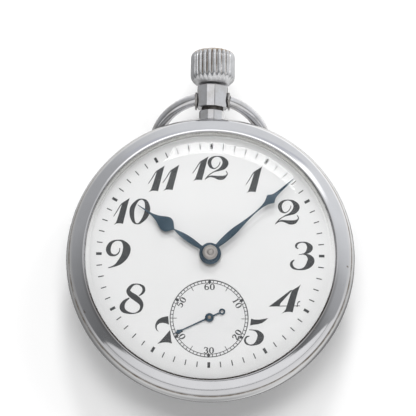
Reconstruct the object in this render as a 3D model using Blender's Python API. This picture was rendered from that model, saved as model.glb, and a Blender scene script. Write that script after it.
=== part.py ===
"""Open face pocket watch: 50.5 mm case, crown and bow at 12 o'clock, small seconds at 6 o'clock.

Frame: origin at the centre of the case back's flat outer face, +Z out through
the dial, +Y to 12 o'clock, +X to 3 o'clock. Dimensions are millimetres here,
and every mesh is written in metres.
"""
import bpy
import bmesh
import math
from math import pi, sin, cos, atan2, hypot, radians
from mathutils import Vector, Matrix
from mathutils.geometry import tessellate_polygon

MM = 0.001

# ---- driving dimensions (mm) ----
CASE_R = 25.25
SEG = 40                  # facets round the case
STEM_Z = 4.5
DIAL_Z0, DIAL_Z1 = 7.2, 7.6
DIAL_R = 21.75
PLATE_Z0, PLATE_Z1 = 5.6, 6.9
PLATE_R = 21.2
BRIDGE_Z0, BRIDGE_Z1 = 2.5, 3.15
BRIDGE_R = 19.2
BOW_PIVOT_Y = 28.25
BOW_RING_R = 9.9          # centre line of the ring
BOW_RING_E = 9.3          # pivot to ring centre
BOW_WIRE_R = 1.05
BOW_FOLD = 40.0           # degrees below the case plane, at rest
CROWN_Y0, CROWN_Y1, CROWN_R = 30.7, 37.6, 3.86
# wheel centres
CENTER = (0.0, 0.0)
BARREL = (-7.12, 4.45)
THIRD = (4.57, -6.02)
FOURTH = (0.0, -11.05)
ESCAPE = (-2.76, -15.94)
PALLET = (-5.21, -13.65)
BALANCE = (-8.9, -10.2)
MINUTE = (0.0, 3.6)
SETTING = (0.0, 8.15)
CROWNW = (0.0, 4.45 + math.sqrt(10.5 ** 2 - 7.12 ** 2))
# the time on the dial, clockwise from 12
HOUR_A, MINUTE_A, SECOND_A = 304.3, 48.2, 244.4

STEEL = (0.62, 0.62, 0.63)
for o in list(bpy.data.objects):
    bpy.data.objects.remove(o, do_unlink=True)


def material(name, rgb, rough, metal):
    m = bpy.data.materials.new(name)
    m.use_nodes = True
    b = m.node_tree.nodes["Principled BSDF"]
    b.inputs["Base Color"].default_value = (*rgb, 1)
    b.inputs["Roughness"].default_value = rough
    b.inputs["Metallic"].default_value = metal
    return m


def bm_object(name, bm, rgb=STEEL, rough=0.3, metal=1.0, at=(0, 0, 0), smooth=False, keep=True):
    """bm holds millimetres in world position; the object's origin goes to `at`."""
    bmesh.ops.remove_doubles(bm, verts=bm.verts, dist=1e-5)
    bmesh.ops.recalc_face_normals(bm, faces=bm.faces)
    for v in bm.verts:
        v.co = (v.co - Vector(at)) * MM
    me = bpy.data.meshes.new(name)
    bm.to_mesh(me)
    bm.free()
    if smooth:
        me.shade_smooth()
        me.set_sharp_from_angle(angle=radians(35))
    ob = bpy.data.objects.new(name, me)
    ob.location = Vector(at) * MM
    bpy.context.scene.collection.objects.link(ob)
    ob.data.materials.append(material(name + "_finish", rgb, rough, metal))
    if not keep:
        ob.hide_render = True
        ob.display_type = "WIRE"
    return ob


def boolean(ob, other, op):
    m = ob.modifiers.new(op.lower() + "_" + other.name, "BOOLEAN")
    m.object = other
    m.operation = op
    m.solver = "EXACT"
    other.hide_render = True
    other.display_type = "WIRE"


# ---- outlines ----
def circle(r, n=16, c=(0, 0), phase=0.0):
    return [(c[0] + r * cos(phase + 2 * pi * i / n), c[1] + r * sin(phase + 2 * pi * i / n)) for i in range(n)]


def arc(c, r, a0, a1, n):
    return [(c[0] + r * cos(radians(a0 + (a1 - a0) * i / n)), c[1] + r * sin(radians(a0 + (a1 - a0) * i / n))) for i in range(n + 1)]


def gear_outline(n, m, c, phase, add=0.85, ded=1.15, width=0.74):
    """Pointed teeth: three points a tooth on pinions, and a plain vee on wheels."""
    rp = n * m / 2
    ro, rt = rp - ded * m, rp + add * m
    half = width * pi / n
    pts = []
    for k in range(n):
        a = phase + 2 * pi * k / n
        corners = ((ro, -half), (rt, 0.0), (ro, half)) if n < 30 else ((ro, -pi / n), (rp + 0.7 * m, 0.0))
        for r, da in corners:
            pts.append((c[0] + r * cos(a + da), c[1] + r * sin(a + da)))
    return pts


def prism_bm(outer, holes, z0, z1, bm=None):
    """A flat plate with holes."""
    bm = bm or bmesh.new()
    loops = [outer] + list(holes)
    flat = [Vector((x, y, 0)) for loop in loops for x, y in loop]
    tris = tessellate_polygon([[Vector((x, y, 0)) for x, y in loop] for loop in loops])
    low = [bm.verts.new((p.x, p.y, z0)) for p in flat]
    top = [bm.verts.new((p.x, p.y, z1)) for p in flat]
    for a, b, c in tris:
        if len({a, b, c}) == 3:
            bm.faces.new((top[a], top[b], top[c]))
            bm.faces.new((low[c], low[b], low[a]))
    k = 0
    for loop in loops:
        n = len(loop)
        for i in range(n):
            a, b = k + i, k + (i + 1) % n
            bm.faces.new((low[a], low[b], top[b], top[a]))
        k += n
    return bm


def ring_stack(rings, closed_loop=False, cap0=True, cap1=True):
    """Joins rings of equal point counts. A closed loop comes back to its first ring."""
    bm = bmesh.new()
    vs = [[bm.verts.new(p) for p in ring] for ring in rings]
    n = len(rings[0])
    pairs = list(zip(vs, vs[1:])) + ([(vs[-1], vs[0])] if closed_loop else [])
    for a, b in pairs:
        for i in range(n):
            j = (i + 1) % n
            bm.faces.new((a[i], a[j], b[j], b[i]))
    if not closed_loop:
        if cap0:
            bm.faces.new(vs[0][::-1])
        if cap1:
            bm.faces.new(vs[-1])
    return bm


def lathe_z(profile, c=(0, 0), n=SEG, tube=False, phase=0.0):
    """profile: (r, z). A tube closes on itself, a solid is capped flat at both ends."""
    rings = [[(c[0] + r * cos(phase + 2 * pi * i / n), c[1] + r * sin(phase + 2 * pi * i / n), z) for i in range(n)] for r, z in profile]
    return ring_stack(rings, closed_loop=tube)


def lathe_y(profile, n=12, tube=False, phase=0.0, z=STEM_Z):
    """profile: (r, y), turned about the stem's axis."""
    rings = [[(r * cos(phase + 2 * pi * i / n), y, z + r * sin(phase + 2 * pi * i / n)) for i in range(n)] for r, y in profile]
    return ring_stack(rings, closed_loop=tube)


def cyl_x(r, x0, x1, y, z, n=12, phase=0.0):
    return ring_stack([[(x, y + r * cos(phase + 2 * pi * i / n), z + r * sin(phase + 2 * pi * i / n)) for i in range(n)] for x in (x0, x1)])


def at(c, z=0.0):
    return (c[0], c[1], z)


# =====================================================================
# case
# =====================================================================
case = bm_object("case_middle", lathe_z([
    (23.3, 2.7), (24.5, 2.7), (24.95, 3.3), (CASE_R, 4.7), (24.75, 6.3), (23.2, 6.3), (23.2, 7.3),
    (21.95, 7.3), (21.95, 7.12), (21.6, 7.12), (21.6, 3.35), (23.3, 3.35)], tube=True),
    (0.70, 0.70, 0.71), 0.12, 1.0, smooth=True)
stem_bore = bm_object("stem_bore_cutter", lathe_y([(1.05, 20.5), (1.05, 26.2)], n=16), keep=False)
boolean(case, stem_bore, "DIFFERENCE")

bm_object("case_back", lathe_z([
    (9.0, 0.0), (14.5, 0.3), (19.0, 0.78), (22.6, 1.5), (24.25, 2.3), (24.3, 2.63),
    (23.2, 2.63), (23.2, 3.2), (22.7, 3.2), (22.5, 2.2), (19.0, 1.5), (9.0, 0.8)]),
    (0.70, 0.70, 0.71), 0.15, 1.0, smooth=True)

bm_object("bezel", lathe_z([
    (21.9, 7.36), (23.26, 7.36), (23.26, 6.36), (24.64, 6.36), (24.64, 6.6), (24.45, 6.95),
    (24.0, 7.4), (23.3, 7.75), (22.45, 7.95), (22.0, 8.0), (21.9, 7.9)], tube=True), (0.70, 0.70, 0.71), 0.10, 1.0, smooth=True)

bm_object("crystal", lathe_z([
    (8.0, 11.8), (16.0, 11.05), (19.2, 10.15), (20.6, 9.4), (21.15, 8.6), (21.2, 7.7), (21.85, 7.7),
    (21.85, 8.3), (21.6, 9.1), (20.9, 9.95), (19.2, 10.85), (16.0, 11.75), (8.0, 12.5)]), (0.95, 0.96, 0.97), 0.03, 0.0, smooth=True)

# pendant: a round neck and a ten-sided block, bored for the stem and the bow's pins
pendant = bm_object("pendant", lathe_y([
    (1.2, 25.4), (2.22, 25.4), (2.22, 26.7), (2.6, 26.8), (2.6, 30.4), (2.4, 30.6), (1.2, 30.6)],
    n=10, tube=True), (0.66, 0.66, 0.67), 0.15, 1.0)
for side, tag in ((-1, "left"), (1, "right")):
    c = bm_object("bow_pin_hole_" + tag, cyl_x(0.6, side * 1.75, side * 3.2, BOW_PIVOT_Y, STEM_Z, phase=pi / 12), keep=False)
    boolean(pendant, c, "DIFFERENCE")


# bow: a wire ring that ends in a boss and a pin on each side of the pendant
def bow_section(a, n=8):
    f = radians(BOW_FOLD)
    down = Vector((0, -cos(f), -sin(f)))
    normal = Vector((0, sin(f), -cos(f)))
    ctr = Vector((BOW_RING_R * sin(a), BOW_PIVOT_Y, STEM_Z)) + down * (BOW_RING_E - BOW_RING_R * cos(a))
    out = Vector((sin(a), 0, 0)) + down * (-cos(a))
    return [tuple(ctr + BOW_WIRE_R * (out * cos(2 * pi * i / n) + normal * sin(2 * pi * i / n))) for i in range(n)]


STEPS = 26
A0 = radians(17.6)
bow = bm_object("bow", ring_stack([bow_section(A0 + (2 * pi - 2 * A0) * i / STEPS) for i in range(STEPS + 1)]),
                (0.72, 0.72, 0.73), 0.12, 1.0, at=(0, BOW_PIVOT_Y, STEM_Z), smooth=True)
for side, tag in ((-1, "left"), (1, "right")):
    boss = cyl_x(1.85, side * 2.72, side * 3.12, BOW_PIVOT_Y, STEM_Z, n=16)
    boolean(bow, bm_object("bow_boss_" + tag, boss, keep=False), "UNION")
    pin = cyl_x(0.5, side * 1.85, side * 3.2, BOW_PIVOT_Y, STEM_Z, n=10)
    boolean(bow, bm_object("bow_pin_" + tag, pin, keep=False), "UNION")

# =====================================================================
# crown and stem
# =====================================================================
FLUTES = 24


def crown_ring(r, y, depth):
    n = 2 * FLUTES
    return [((r - depth * (i % 2)) * cos(2 * pi * i / n), y, STEM_Z + (r - depth * (i % 2)) * sin(2 * pi * i / n)) for i in range(n)]


bm_object("crown", ring_stack([
    crown_ring(1.0, 34.6, 0), crown_ring(1.0, CROWN_Y0, 0), crown_ring(3.3, CROWN_Y0, 0.0), crown_ring(3.78, 31.5, 0.0),
    crown_ring(CROWN_R, 32.2, 0.28), crown_ring(CROWN_R, 36.3, 0.28), crown_ring(3.2, 37.1, 0.0), crown_ring(1.6, CROWN_Y1, 0.0)]),
    (0.63, 0.62, 0.60), 0.25, 1.0, at=(0, CROWN_Y0, STEM_Z), smooth=True)

bm_object("stem", lathe_y([
    (0.28, 9.7), (0.28, 10.55), (0.48, 10.6), (0.48, 14.5), (0.72, 14.6), (0.72, 17.3), (0.42, 17.35), (0.42, 18.25),
    (0.72, 18.3), (0.72, 22.0), (0.9, 22.1), (0.9, 34.3)], n=12), (0.55, 0.55, 0.57), 0.3, 1.0,
    at=(0, 0, STEM_Z), smooth=True)


def toothed_sleeve(r_in, r_out, y0, y1, teeth, crown_h, groove=None, phase=0.0, spur=False, n=32):
    """A bored sleeve on the stem axis. Its +Y end (or -Y end when crown_h < 0) has face teeth."""
    def ring(r, y, lift=0.0, cut=0.0):
        pts = []
        for i in range(n):
            a = phase + 2 * pi * i / n
            rr = r - (cut if i % 2 else 0.0)
            pts.append((rr * cos(a), y + (lift if i % 2 else 0.0), STEM_Z + rr * sin(a)))
        return pts
    cut = 0.42 if spur else 0.0
    rings = [ring(r_in, y0), ring(r_out, y0, 0, cut)]
    if groove:
        g0, g1, gr = groove
        rings += [ring(r_out, g0), ring(gr, g0), ring(gr, g1), ring(r_out, g1)]
    rings += [ring(r_out, y1, crown_h, cut), ring(r_in, y1, crown_h)]
    return ring_stack(rings, closed_loop=True)


bm_object("winding_pinion", toothed_sleeve(0.8, 2.0, 14.75, 16.8, 16, 0.0, phase=0.0, spur=True),
          (0.6, 0.6, 0.6), 0.3, 1.0, at=(0, 14.75, STEM_Z))
bm_object("clutch_wheel", toothed_sleeve(0.58, 1.3, 11.2, 14.35, 16, 0.22, groove=(11.95, 12.85, 0.9), phase=0.0, n=24),
          (0.6, 0.6, 0.6), 0.3, 1.0, at=(0, 11.2, STEM_Z))

# =====================================================================
# main plate: a disc with lands that the bridges stand on
# =====================================================================
jewel_holes = [circle(0.3, 8, THIRD), circle(0.55, 10, FOURTH), circle(0.3, 8, ESCAPE), circle(0.3, 8, PALLET),
               circle(0.3, 8, BALANCE), circle(0.8, 12, BARREL), circle(1.05, 12, CENTER)]
window = [(-2.25, 10.15), (2.25, 10.15), (2.25, 17.05), (-2.25, 17.05)]
pin_slot = [(-0.55, 17.25), (0.55, 17.25), (0.55, 19.6), (-0.55, 19.6)]
lever_hole = circle(0.42, 10, (2.8, 18.4))
foot_holes = [circle(0.62, 10, (19.3 * cos(radians(a)), 19.3 * sin(radians(a)))) for a in (62, 205)]
mainplate = bm_object("mainplate", prism_bm(circle(PLATE_R, SEG), jewel_holes + [window, pin_slot, lever_hole] + foot_holes,
                                            PLATE_Z0, PLATE_Z1), (0.72, 0.66, 0.50), 0.35, 1.0)
LANDS = ((15, 48), (164, 184), (187.5, 199), (-62, -22))
for k, (a0, a1) in enumerate(LANDS):
    land = arc((0, 0), PLATE_R - 0.15, a0, a1, 5) + arc((0, 0), 16.2, a1, a0, 4)
    boolean(mainplate, bm_object("land_%d" % k, prism_bm(land, [], 3.2, PLATE_Z0 + 0.3), keep=False), "UNION")
pocket = arc(SETTING, 2.35, 20, 160, 6) + arc(MINUTE, 3.25, 140, 200, 3) + arc(CENTER, 3.35, 190, 350, 8) + arc(MINUTE, 3.25, -20, 40, 3)
boolean(mainplate, bm_object("motion_pocket_cutter", prism_bm(pocket, [], 6.3, 7.6), keep=False), "DIFFERENCE")
for tag, c in (("minute", MINUTE), ("setting", SETTING)):
    boolean(mainplate, bm_object("stud_" + tag, prism_bm(circle(0.3, 8, c), [], 6.1, 6.82), keep=False), "UNION")
for tag, a in (("1", 62), ("2", 205)):
    d = Vector((cos(radians(a)), sin(radians(a)), 0))
    side = Vector((-d.y, d.x, 0))
    rings = [[tuple(d * r + side * (0.42 * cos(2 * pi * i / 8)) + Vector((0, 0, 6.25 + 0.42 * sin(2 * pi * i / 8)))) for i in range(8)]
             for r in (19.95, 21.5)]
    boolean(mainplate, bm_object("foot_screw_bore_" + tag, ring_stack(rings), keep=False), "DIFFERENCE")
    rings = [[tuple(d * r + side * (0.36 * cos(2 * pi * i / 8)) + Vector((0, 0, 6.25 + 0.36 * sin(2 * pi * i / 8)))) for i in range(8)]
             for r in (20.05, 21.1)]
    bm_object("dial_foot_screw_" + tag, ring_stack(rings), (0.2, 0.24, 0.35), 0.3, 1.0)

# =====================================================================
# bridges
# =====================================================================
def screw(name, c, z_head, z_top, r_head, z_low, r_shank):
    """Head towards the case back (low Z), shank up into the plate."""
    bm_object(name, lathe_z([(r_head, z_head), (r_head, z_top), (r_shank, z_top), (r_shank, z_low)], c, n=10),
              (0.2, 0.24, 0.36), 0.3, 1.0, at=at(c))


def polar(r, a):
    return (r * cos(radians(a)), r * sin(radians(a)))


BSCREW1, BSCREW2, TSCREW, CSCREW = polar(17.7, 174), polar(17.7, 32), polar(17.7, -42), polar(17.7, 193)
CASE_SCREWS = (polar(20.35, 20), polar(20.35, -30))
bb_out = arc((0, 0), BRIDGE_R, -4, 184, 26) + [(-6.0, -1.45), (6.0, -1.45)]
bb_win = [(-1.75, 14.45), (1.75, 14.45), (1.75, 17.1), (-1.75, 17.1)]
CLICK = (-15.15, 8.6)
barrel_bridge = bm_object("barrel_bridge", prism_bm(bb_out, [
    circle(0.8, 12, BARREL), circle(0.3, 8, CENTER), circle(0.42, 8, BSCREW1), circle(0.42, 8, BSCREW2), bb_win,
    circle(0.45, 8, CROWNW), circle(0.4, 8, CLICK)], BRIDGE_Z0, BRIDGE_Z1), (0.74, 0.73, 0.70), 0.3, 1.0)

tb_out = arc((0, 0), BRIDGE_R, -8, -108, 14) + arc(BALANCE, 7.25, -75, 42, 12) + [(-2.4, -2.6)]
train_bridge = bm_object("train_bridge", prism_bm(tb_out, [
    circle(0.78, 10, THIRD), circle(0.78, 10, FOURTH), circle(0.78, 10, ESCAPE), circle(0.42, 8, TSCREW)], BRIDGE_Z0 - 0.3, BRIDGE_Z1),
    (0.74, 0.73, 0.70), 0.3, 1.0)

pd = Vector((BALANCE[0] - PALLET[0], BALANCE[1] - PALLET[1])).normalized()   # pallet arbor towards the balance
pv = Vector((-pd.y, pd.x))
PCOCK = (PALLET[0] + 3.3 * pv.x, PALLET[1] + 3.3 * pv.y)


def slot_outline(a, b, r, n=6):
    """Two half circles joined: a bar with round ends."""
    ang = math.degrees(atan2(b[1] - a[1], b[0] - a[0]))
    return arc(b, r, ang - 90, ang + 90, n) + arc(a, r, ang + 90, ang + 270, n)


pallet_bridge = bm_object("pallet_bridge", prism_bm(slot_outline(PCOCK, PALLET, 0.85), [circle(0.22, 8, PALLET)], 3.6, 4.05),
                          (0.74, 0.73, 0.70), 0.3, 1.0)
boolean(pallet_bridge, bm_object("pallet_cock_foot", prism_bm(circle(0.8, 12, PCOCK), [], 3.7, 5.55), keep=False), "UNION")

cock_arm = [polar(18.9, 188.5), polar(19.0, 193), polar(18.9, 198)]
tb = math.degrees(atan2(CSCREW[1] - BALANCE[1], CSCREW[0] - BALANCE[0]))
cock_out = arc(CSCREW, 1.75, tb - 90, tb + 90, 6) + arc(BALANCE, 1.75, tb + 90, tb + 270, 8)
balance_cock = bm_object("balance_cock", prism_bm(cock_out, [circle(0.75, 10, BALANCE), circle(0.42, 8, CSCREW)], 1.95, 2.5),
                         (0.74, 0.73, 0.70), 0.3, 1.0)
boolean(balance_cock, bm_object("cock_foot", prism_bm(circle(1.5, 16, CSCREW), [circle(0.46, 8, CSCREW)], 2.3, 3.15), keep=False), "UNION")

screw("barrel_bridge_screw_1", BSCREW1, 2.0, 2.46, 1.0, 4.6, 0.36)
screw("barrel_bridge_screw_2", BSCREW2, 2.0, 2.46, 1.0, 4.6, 0.36)
screw("train_bridge_screw", TSCREW, 1.75, 2.15, 1.0, 4.6, 0.36)
screw("balance_cock_screw", CSCREW, 1.5, 1.9, 0.95, 4.6, 0.36)
for k, c in enumerate(CASE_SCREWS, 1):
    screw("case_screw_%d" % k, c, 2.75, 3.12, 0.95, 4.6, 0.36)
# threaded holes in the lands
for tag, c in (("a", BSCREW1), ("b", BSCREW2), ("c", TSCREW), ("d", CSCREW), ("e", CASE_SCREWS[0]), ("f", CASE_SCREWS[1])):
    boolean(mainplate, bm_object("screw_hole_" + tag, prism_bm(circle(0.43, 8, c), [], 3.0, 4.8), keep=False), "DIFFERENCE")

for tag, c, z0, z1 in (("third", THIRD, 2.25, 2.75), ("fourth", FOURTH, 2.25, 2.75), ("escape", ESCAPE, 2.25, 2.75), ("balance", BALANCE, 2.0, 2.42)):
    bm_object("jewel_" + tag, lathe_z([(0.24, z0), (0.7, z0), (0.7, z1), (0.24, z1)], c, n=8, tube=True), (0.6, 0.03, 0.08), 0.05, 0.0, at=at(c))

# =====================================================================
# power: barrel, spring, ratchet
# =====================================================================
ph = {}                                    # phases so that the teeth mesh
dir_cb = atan2(BARREL[1], BARREL[0])       # centre towards barrel
CENTER_PINION_PHASE = dir_cb
BARREL_PHASE = dir_cb + pi + pi / 72
barrel = bm_object("barrel_drum", lathe_z([(0.95, 3.3), (6.85, 3.3), (6.85, 4.75), (6.5, 4.75), (6.5, 3.5), (0.95, 3.5)],
                                         BARREL, n=24, tube=True), (0.75, 0.62, 0.35), 0.3, 1.0, at=at(BARREL))
boolean(barrel, bm_object("barrel_teeth", prism_bm(gear_outline(72, 0.2, BARREL, BARREL_PHASE), [circle(6.7, 24, BARREL)], 3.95, 4.35),
                          keep=False), "UNION")
bm_object("barrel_cover", prism_bm(circle(6.8, 24, BARREL), [circle(0.95, 12, BARREL)], 4.78, 4.95), (0.75, 0.62, 0.35), 0.3, 1.0, at=at(BARREL))
bm_object("barrel_arbor", lathe_z([(0.7, 1.97), (0.7, 3.22), (0.85, 3.24), (0.85, 3.6), (1.7, 3.6), (1.7, 4.65), (0.85, 4.65), (0.85, 5.1),
                                   (0.7, 5.12), (0.7, 6.1)], BARREL, n=10), (0.5, 0.5, 0.52), 0.3, 1.0, at=at(BARREL))


def spiral_bm(c, r0, r1, turns, per, half, z0, z1, phase=0.0):
    n = int(turns * per)
    rings = []
    for i in range(n + 1):
        a = phase + 2 * pi * turns * i / n
        r = r0 + (r1 - r0) * i / n
        rings.append([(c[0] + (r + s) * cos(a), c[1] + (r + s) * sin(a), z) for s, z in ((-half, z0), (half, z0), (half, z1), (-half, z1))])
    return ring_stack(rings)


bm_object("mainspring", spiral_bm(BARREL, 2.2, 6.1, 4, 11, 0.07, 3.58, 4.68), (0.35, 0.37, 0.42), 0.3, 1.0, at=at(BARREL))

dir_bc = atan2(CROWNW[1] - BARREL[1], CROWNW[0] - BARREL[0])
bm_object("ratchet_wheel", prism_bm(gear_outline(44, 0.3, BARREL, dir_bc), [circle(0.76, 12, BARREL)], 1.95, 2.42),
          (0.66, 0.66, 0.67), 0.25, 1.0, at=at(BARREL))
bm_object("ratchet_screw", lathe_z([(1.5, 1.5), (1.5, 1.9), (0.3, 1.9), (0.3, 1.94)], BARREL, n=16), (0.2, 0.24, 0.36), 0.3, 1.0, at=at(BARREL))
bm_object("crown_wheel", prism_bm(gear_outline(26, 0.3, CROWNW, dir_bc + pi + pi / 26), [circle(0.9, 12, CROWNW)], 1.95, 2.42),
          (0.66, 0.66, 0.67), 0.25, 1.0, at=at(CROWNW))
bm_object("crown_wheel_screw", lathe_z([(1.7, 1.5), (1.7, 1.9), (0.84, 1.9), (0.84, 2.44), (0.38, 2.44), (0.38, 3.1)], CROWNW, n=16),
          (0.2, 0.24, 0.36), 0.3, 1.0, at=at(CROWNW))
# click: a pawl whose nose stands just clear of the ratchet's teeth
kd = Vector((BARREL[0] - CLICK[0], BARREL[1] - CLICK[1]))
kdist = kd.length
kd.normalize()
kt = Vector((-kd.y, kd.x))


def from_click(u, v):
    return (CLICK[0] + kd.x * u + kt.x * v, CLICK[1] + kd.y * u + kt.y * v)


click_out = [from_click(*p) for p in ((-0.9, -0.55), (0.2, -0.95), (0.9, -0.6), (kdist - 6.75, 2.2), (kdist - 6.5, 2.75), (0.6, 1.4), (-0.5, 0.95), (-0.95, 0.3))]
bm_object("click", prism_bm(click_out, [circle(0.42, 10, CLICK)], 1.95, 2.42), (0.66, 0.66, 0.67), 0.3, 1.0, at=at(CLICK))
spring_pts = [from_click(*p) for p in ((-1.15, -0.9), (-1.0, 0.4), (-0.65, 1.25), (-0.2, 2.6), (-0.1, 4.6), (-0.32, 4.6), (-0.4, 2.7), (-0.85, 1.35),
                                       (-1.2, 0.5), (-1.35, -0.9))]
bm_object("click_spring", prism_bm(spring_pts, [], 2.0, 2.4), (0.45, 0.45, 0.48), 0.3, 1.0)

# =====================================================================
# going train
# =====================================================================
def arbor_wheel(name, c, profile, parts, rgb=(0.78, 0.64, 0.33), n=8):
    """An arbor with its wheel and pinion joined on it."""
    ob = bm_object(name, lathe_z(profile, c, n=n), rgb, 0.3, 1.0, at=at(c))
    for k, (teeth, m, phase, z0, z1, spokes) in enumerate(parts):
        rim = gear_outline(teeth, m, c, phase)
        holes = []
        if spokes:
            ri, ro = 1.5, teeth * m / 2 - 1.0
            gap = 0.45
            for s in range(spokes):
                a0 = math.degrees(2 * pi * s / spokes)
                step = 360.0 / spokes
                di, do = math.degrees(gap / ri), math.degrees(gap / ro)
                holes.append(arc(c, ro, a0 + do, a0 + step - do, 5) + arc(c, ri, a0 + step - di, a0 + di, 2))
        boolean(ob, bm_object(name + "_teeth_%d" % k, prism_bm(rim, holes, z0, z1), keep=False), "UNION")
    return ob


d_ct = atan2(THIRD[1], THIRD[0])
d_tf = atan2(FOURTH[1] - THIRD[1], FOURTH[0] - THIRD[0])
d_fe = atan2(ESCAPE[1] - FOURTH[1], ESCAPE[0] - FOURTH[0])
arbor_wheel("center_wheel", CENTER, [(0.22, 2.6), (0.22, 3.25), (0.45, 3.3), (0.45, 10.0), (0.3, 10.15)],
            [(12, 0.2, CENTER_PINION_PHASE, 3.9, 4.4, 0), (64, 0.21, d_ct, 5.12, 5.34, 4)])
arbor_wheel("third_wheel", THIRD, [(0.15, 2.35), (0.15, 3.1), (0.35, 3.2), (0.35, 5.48), (0.15, 5.5), (0.15, 6.3)],
            [(8, 0.21, d_ct + pi + pi / 8, 5.0, 5.46, 0), (60, 0.2, d_tf, 3.28, 3.48, 4)])
arbor_wheel("fourth_wheel", FOURTH, [(0.15, 2.35), (0.15, 3.1), (0.35, 3.2), (0.35, 5.5), (0.2, 5.55), (0.2, 8.0)],
            [(8, 0.2, d_tf + pi + pi / 8, 3.2, 3.7, 0), (60, 0.17, d_fe, 4.28, 4.48, 4)])
escape = arbor_wheel("escape_wheel", ESCAPE, [(0.15, 2.35), (0.15, 3.1), (0.3, 3.2), (0.3, 5.5), (0.15, 5.55), (0.15, 6.3)],
                     [(6, 0.17, d_fe + pi + pi / 6, 4.1, 4.65, 0)], (0.7, 0.7, 0.7))
club = []
for k in range(15):
    a = radians(6 + 24 * k)
    for r, da in ((2.3, -7), (2.9, 2), (2.85, 6), (2.3, 5)):
        club.append((ESCAPE[0] + r * cos(a + radians(da)), ESCAPE[1] + r * sin(a + radians(da))))
e_holes = [arc(ESCAPE, 1.9, 90 * s + 14, 90 * s + 76, 3) + arc(ESCAPE, 0.8, 90 * s + 60, 90 * s + 30, 1) for s in range(4)]
boolean(escape, bm_object("escape_teeth", prism_bm(club, e_holes, 4.75, 4.95), keep=False), "UNION")

# =====================================================================
# escapement and balance
# =====================================================================
def from_pallet(u, v):
    """u towards the balance, v across."""
    return (PALLET[0] + pd.x * u + pv.x * v, PALLET[1] + pd.y * u + pv.y * v)


half_fork = [(3.86, 0.55), (3.5, 0.45), (3.3, 0.16), (0.7, 0.2), (0.3, 0.5), (-0.1, 1.2), (-0.3, 1.75), (-0.55, 1.75), (-0.5, 1.3), (-0.45, 0.6)]
fork_out = [from_pallet(u, v) for u, v in half_fork] + [from_pallet(u, -v) for u, v in half_fork[::-1]] + [from_pallet(3.86, -0.24), from_pallet(3.55, -0.24),
                                                                                                       from_pallet(3.55, 0.24), from_pallet(3.86, 0.24)]
fork = bm_object("pallet_fork", prism_bm(fork_out, [], 4.76, 4.94), (0.68, 0.68, 0.7), 0.3, 1.0, at=at(PALLET))
boolean(fork, bm_object("pallet_arbor", lathe_z([(0.12, 3.7), (0.12, 4.1), (0.25, 4.15), (0.25, 5.5), (0.12, 5.55), (0.12, 6.2)], PALLET, n=8), keep=False), "UNION")

bal_holes = [arc(BALANCE, 6.15, 180 * s + 8, 180 * s + 172, 14) + arc(BALANCE, 1.2, 180 * s + 140, 180 * s + 40, 4) for s in range(2)]
bm_object("balance_wheel", prism_bm(circle(6.85, 30, BALANCE), bal_holes + [circle(0.5, 10, BALANCE)], 2.78, 3.3), (0.80, 0.66, 0.34), 0.25, 1.0,
          at=at(BALANCE))
bm_object("balance_staff", lathe_z([(0.12, 2.1), (0.12, 2.48), (0.42, 2.52), (0.42, 3.4), (0.6, 3.42), (0.6, 3.6), (0.4, 3.62), (0.4, 5.5),
                                    (0.12, 5.55), (0.12, 6.3)], BALANCE, n=10), (0.5, 0.5, 0.52), 0.25, 1.0, at=at(BALANCE))
roller = bm_object("roller_table", prism_bm(circle(1.45, 20, BALANCE), [circle(0.45, 10, BALANCE)], 4.35, 4.58), (0.66, 0.66, 0.68), 0.2, 1.0, at=at(BALANCE))
ip = (BALANCE[0] - pd.x * 0.95, BALANCE[1] - pd.y * 0.95)
boolean(roller, bm_object("impulse_pin", prism_bm(circle(0.13, 8, ip), [], 4.5, 4.92), keep=False), "UNION")
bm_object("hairspring", spiral_bm(BALANCE, 0.85, 4.3, 4, 11, 0.05, 2.56, 2.7), (0.2, 0.25, 0.4), 0.3, 1.0, at=at(BALANCE))
ring_a = math.degrees(atan2(BALANCE[1], BALANCE[0])) + 180
reg = arc(BALANCE, 1.3, tb - 90 + 20, tb + 270 - 20 - 90 + 60, 12)
pointer = (BALANCE[0] + 4.0 * cos(radians(tb + 12)), BALANCE[1] + 4.0 * sin(radians(tb + 12)))
reg_out = arc(BALANCE, 1.35, tb + 12 + 14, tb + 12 + 346, 14) + [pointer]
bm_object("regulator_index", prism_bm(reg_out, [circle(0.85, 12, BALANCE)], 1.62, 1.9), (0.68, 0.68, 0.7), 0.2, 1.0, at=at(BALANCE))

# =====================================================================
# motion work and keyless work, on the dial side
# =====================================================================
bm_object("cannon_pinion", prism_bm(gear_outline(12, 0.15, CENTER, pi / 2), [circle(0.5, 10, CENTER)], 6.42, 6.8), (0.6, 0.6, 0.62), 0.3, 1.0)
cannon = bpy.data.objects["cannon_pinion"]
boolean(cannon, bm_object("cannon_pipe", lathe_z([(0.5, 6.75), (0.78, 6.75), (0.78, 9.95), (0.5, 9.95)], CENTER, n=12, tube=True, phase=0.13), keep=False), "UNION")
minute_wheel = bm_object("minute_wheel", prism_bm(gear_outline(36, 0.15, MINUTE, -pi / 2 + pi / 36), [circle(0.36, 10, MINUTE)], 6.5, 6.72),
                         (0.78, 0.64, 0.33), 0.3, 1.0, at=at(MINUTE))
boolean(minute_wheel, bm_object("minute_pinion", prism_bm(gear_outline(10, 0.144, MINUTE, -pi / 2), [circle(0.36, 10, MINUTE, 0.1)], 6.65, 7.14), keep=False), "UNION")
hour_wheel = bm_object("hour_wheel", prism_bm(gear_outline(40, 0.144, CENTER, pi / 2 + pi / 40), [circle(0.84, 12, CENTER)], 6.92, 7.1),
                       (0.78, 0.64, 0.33), 0.3, 1.0)
boolean(hour_wheel, bm_object("hour_pipe", lathe_z([(0.84, 7.0), (1.15, 7.0), (1.15, 9.0), (0.84, 9.0)], CENTER, n=12, tube=True, phase=0.1), keep=False), "UNION")
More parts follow.
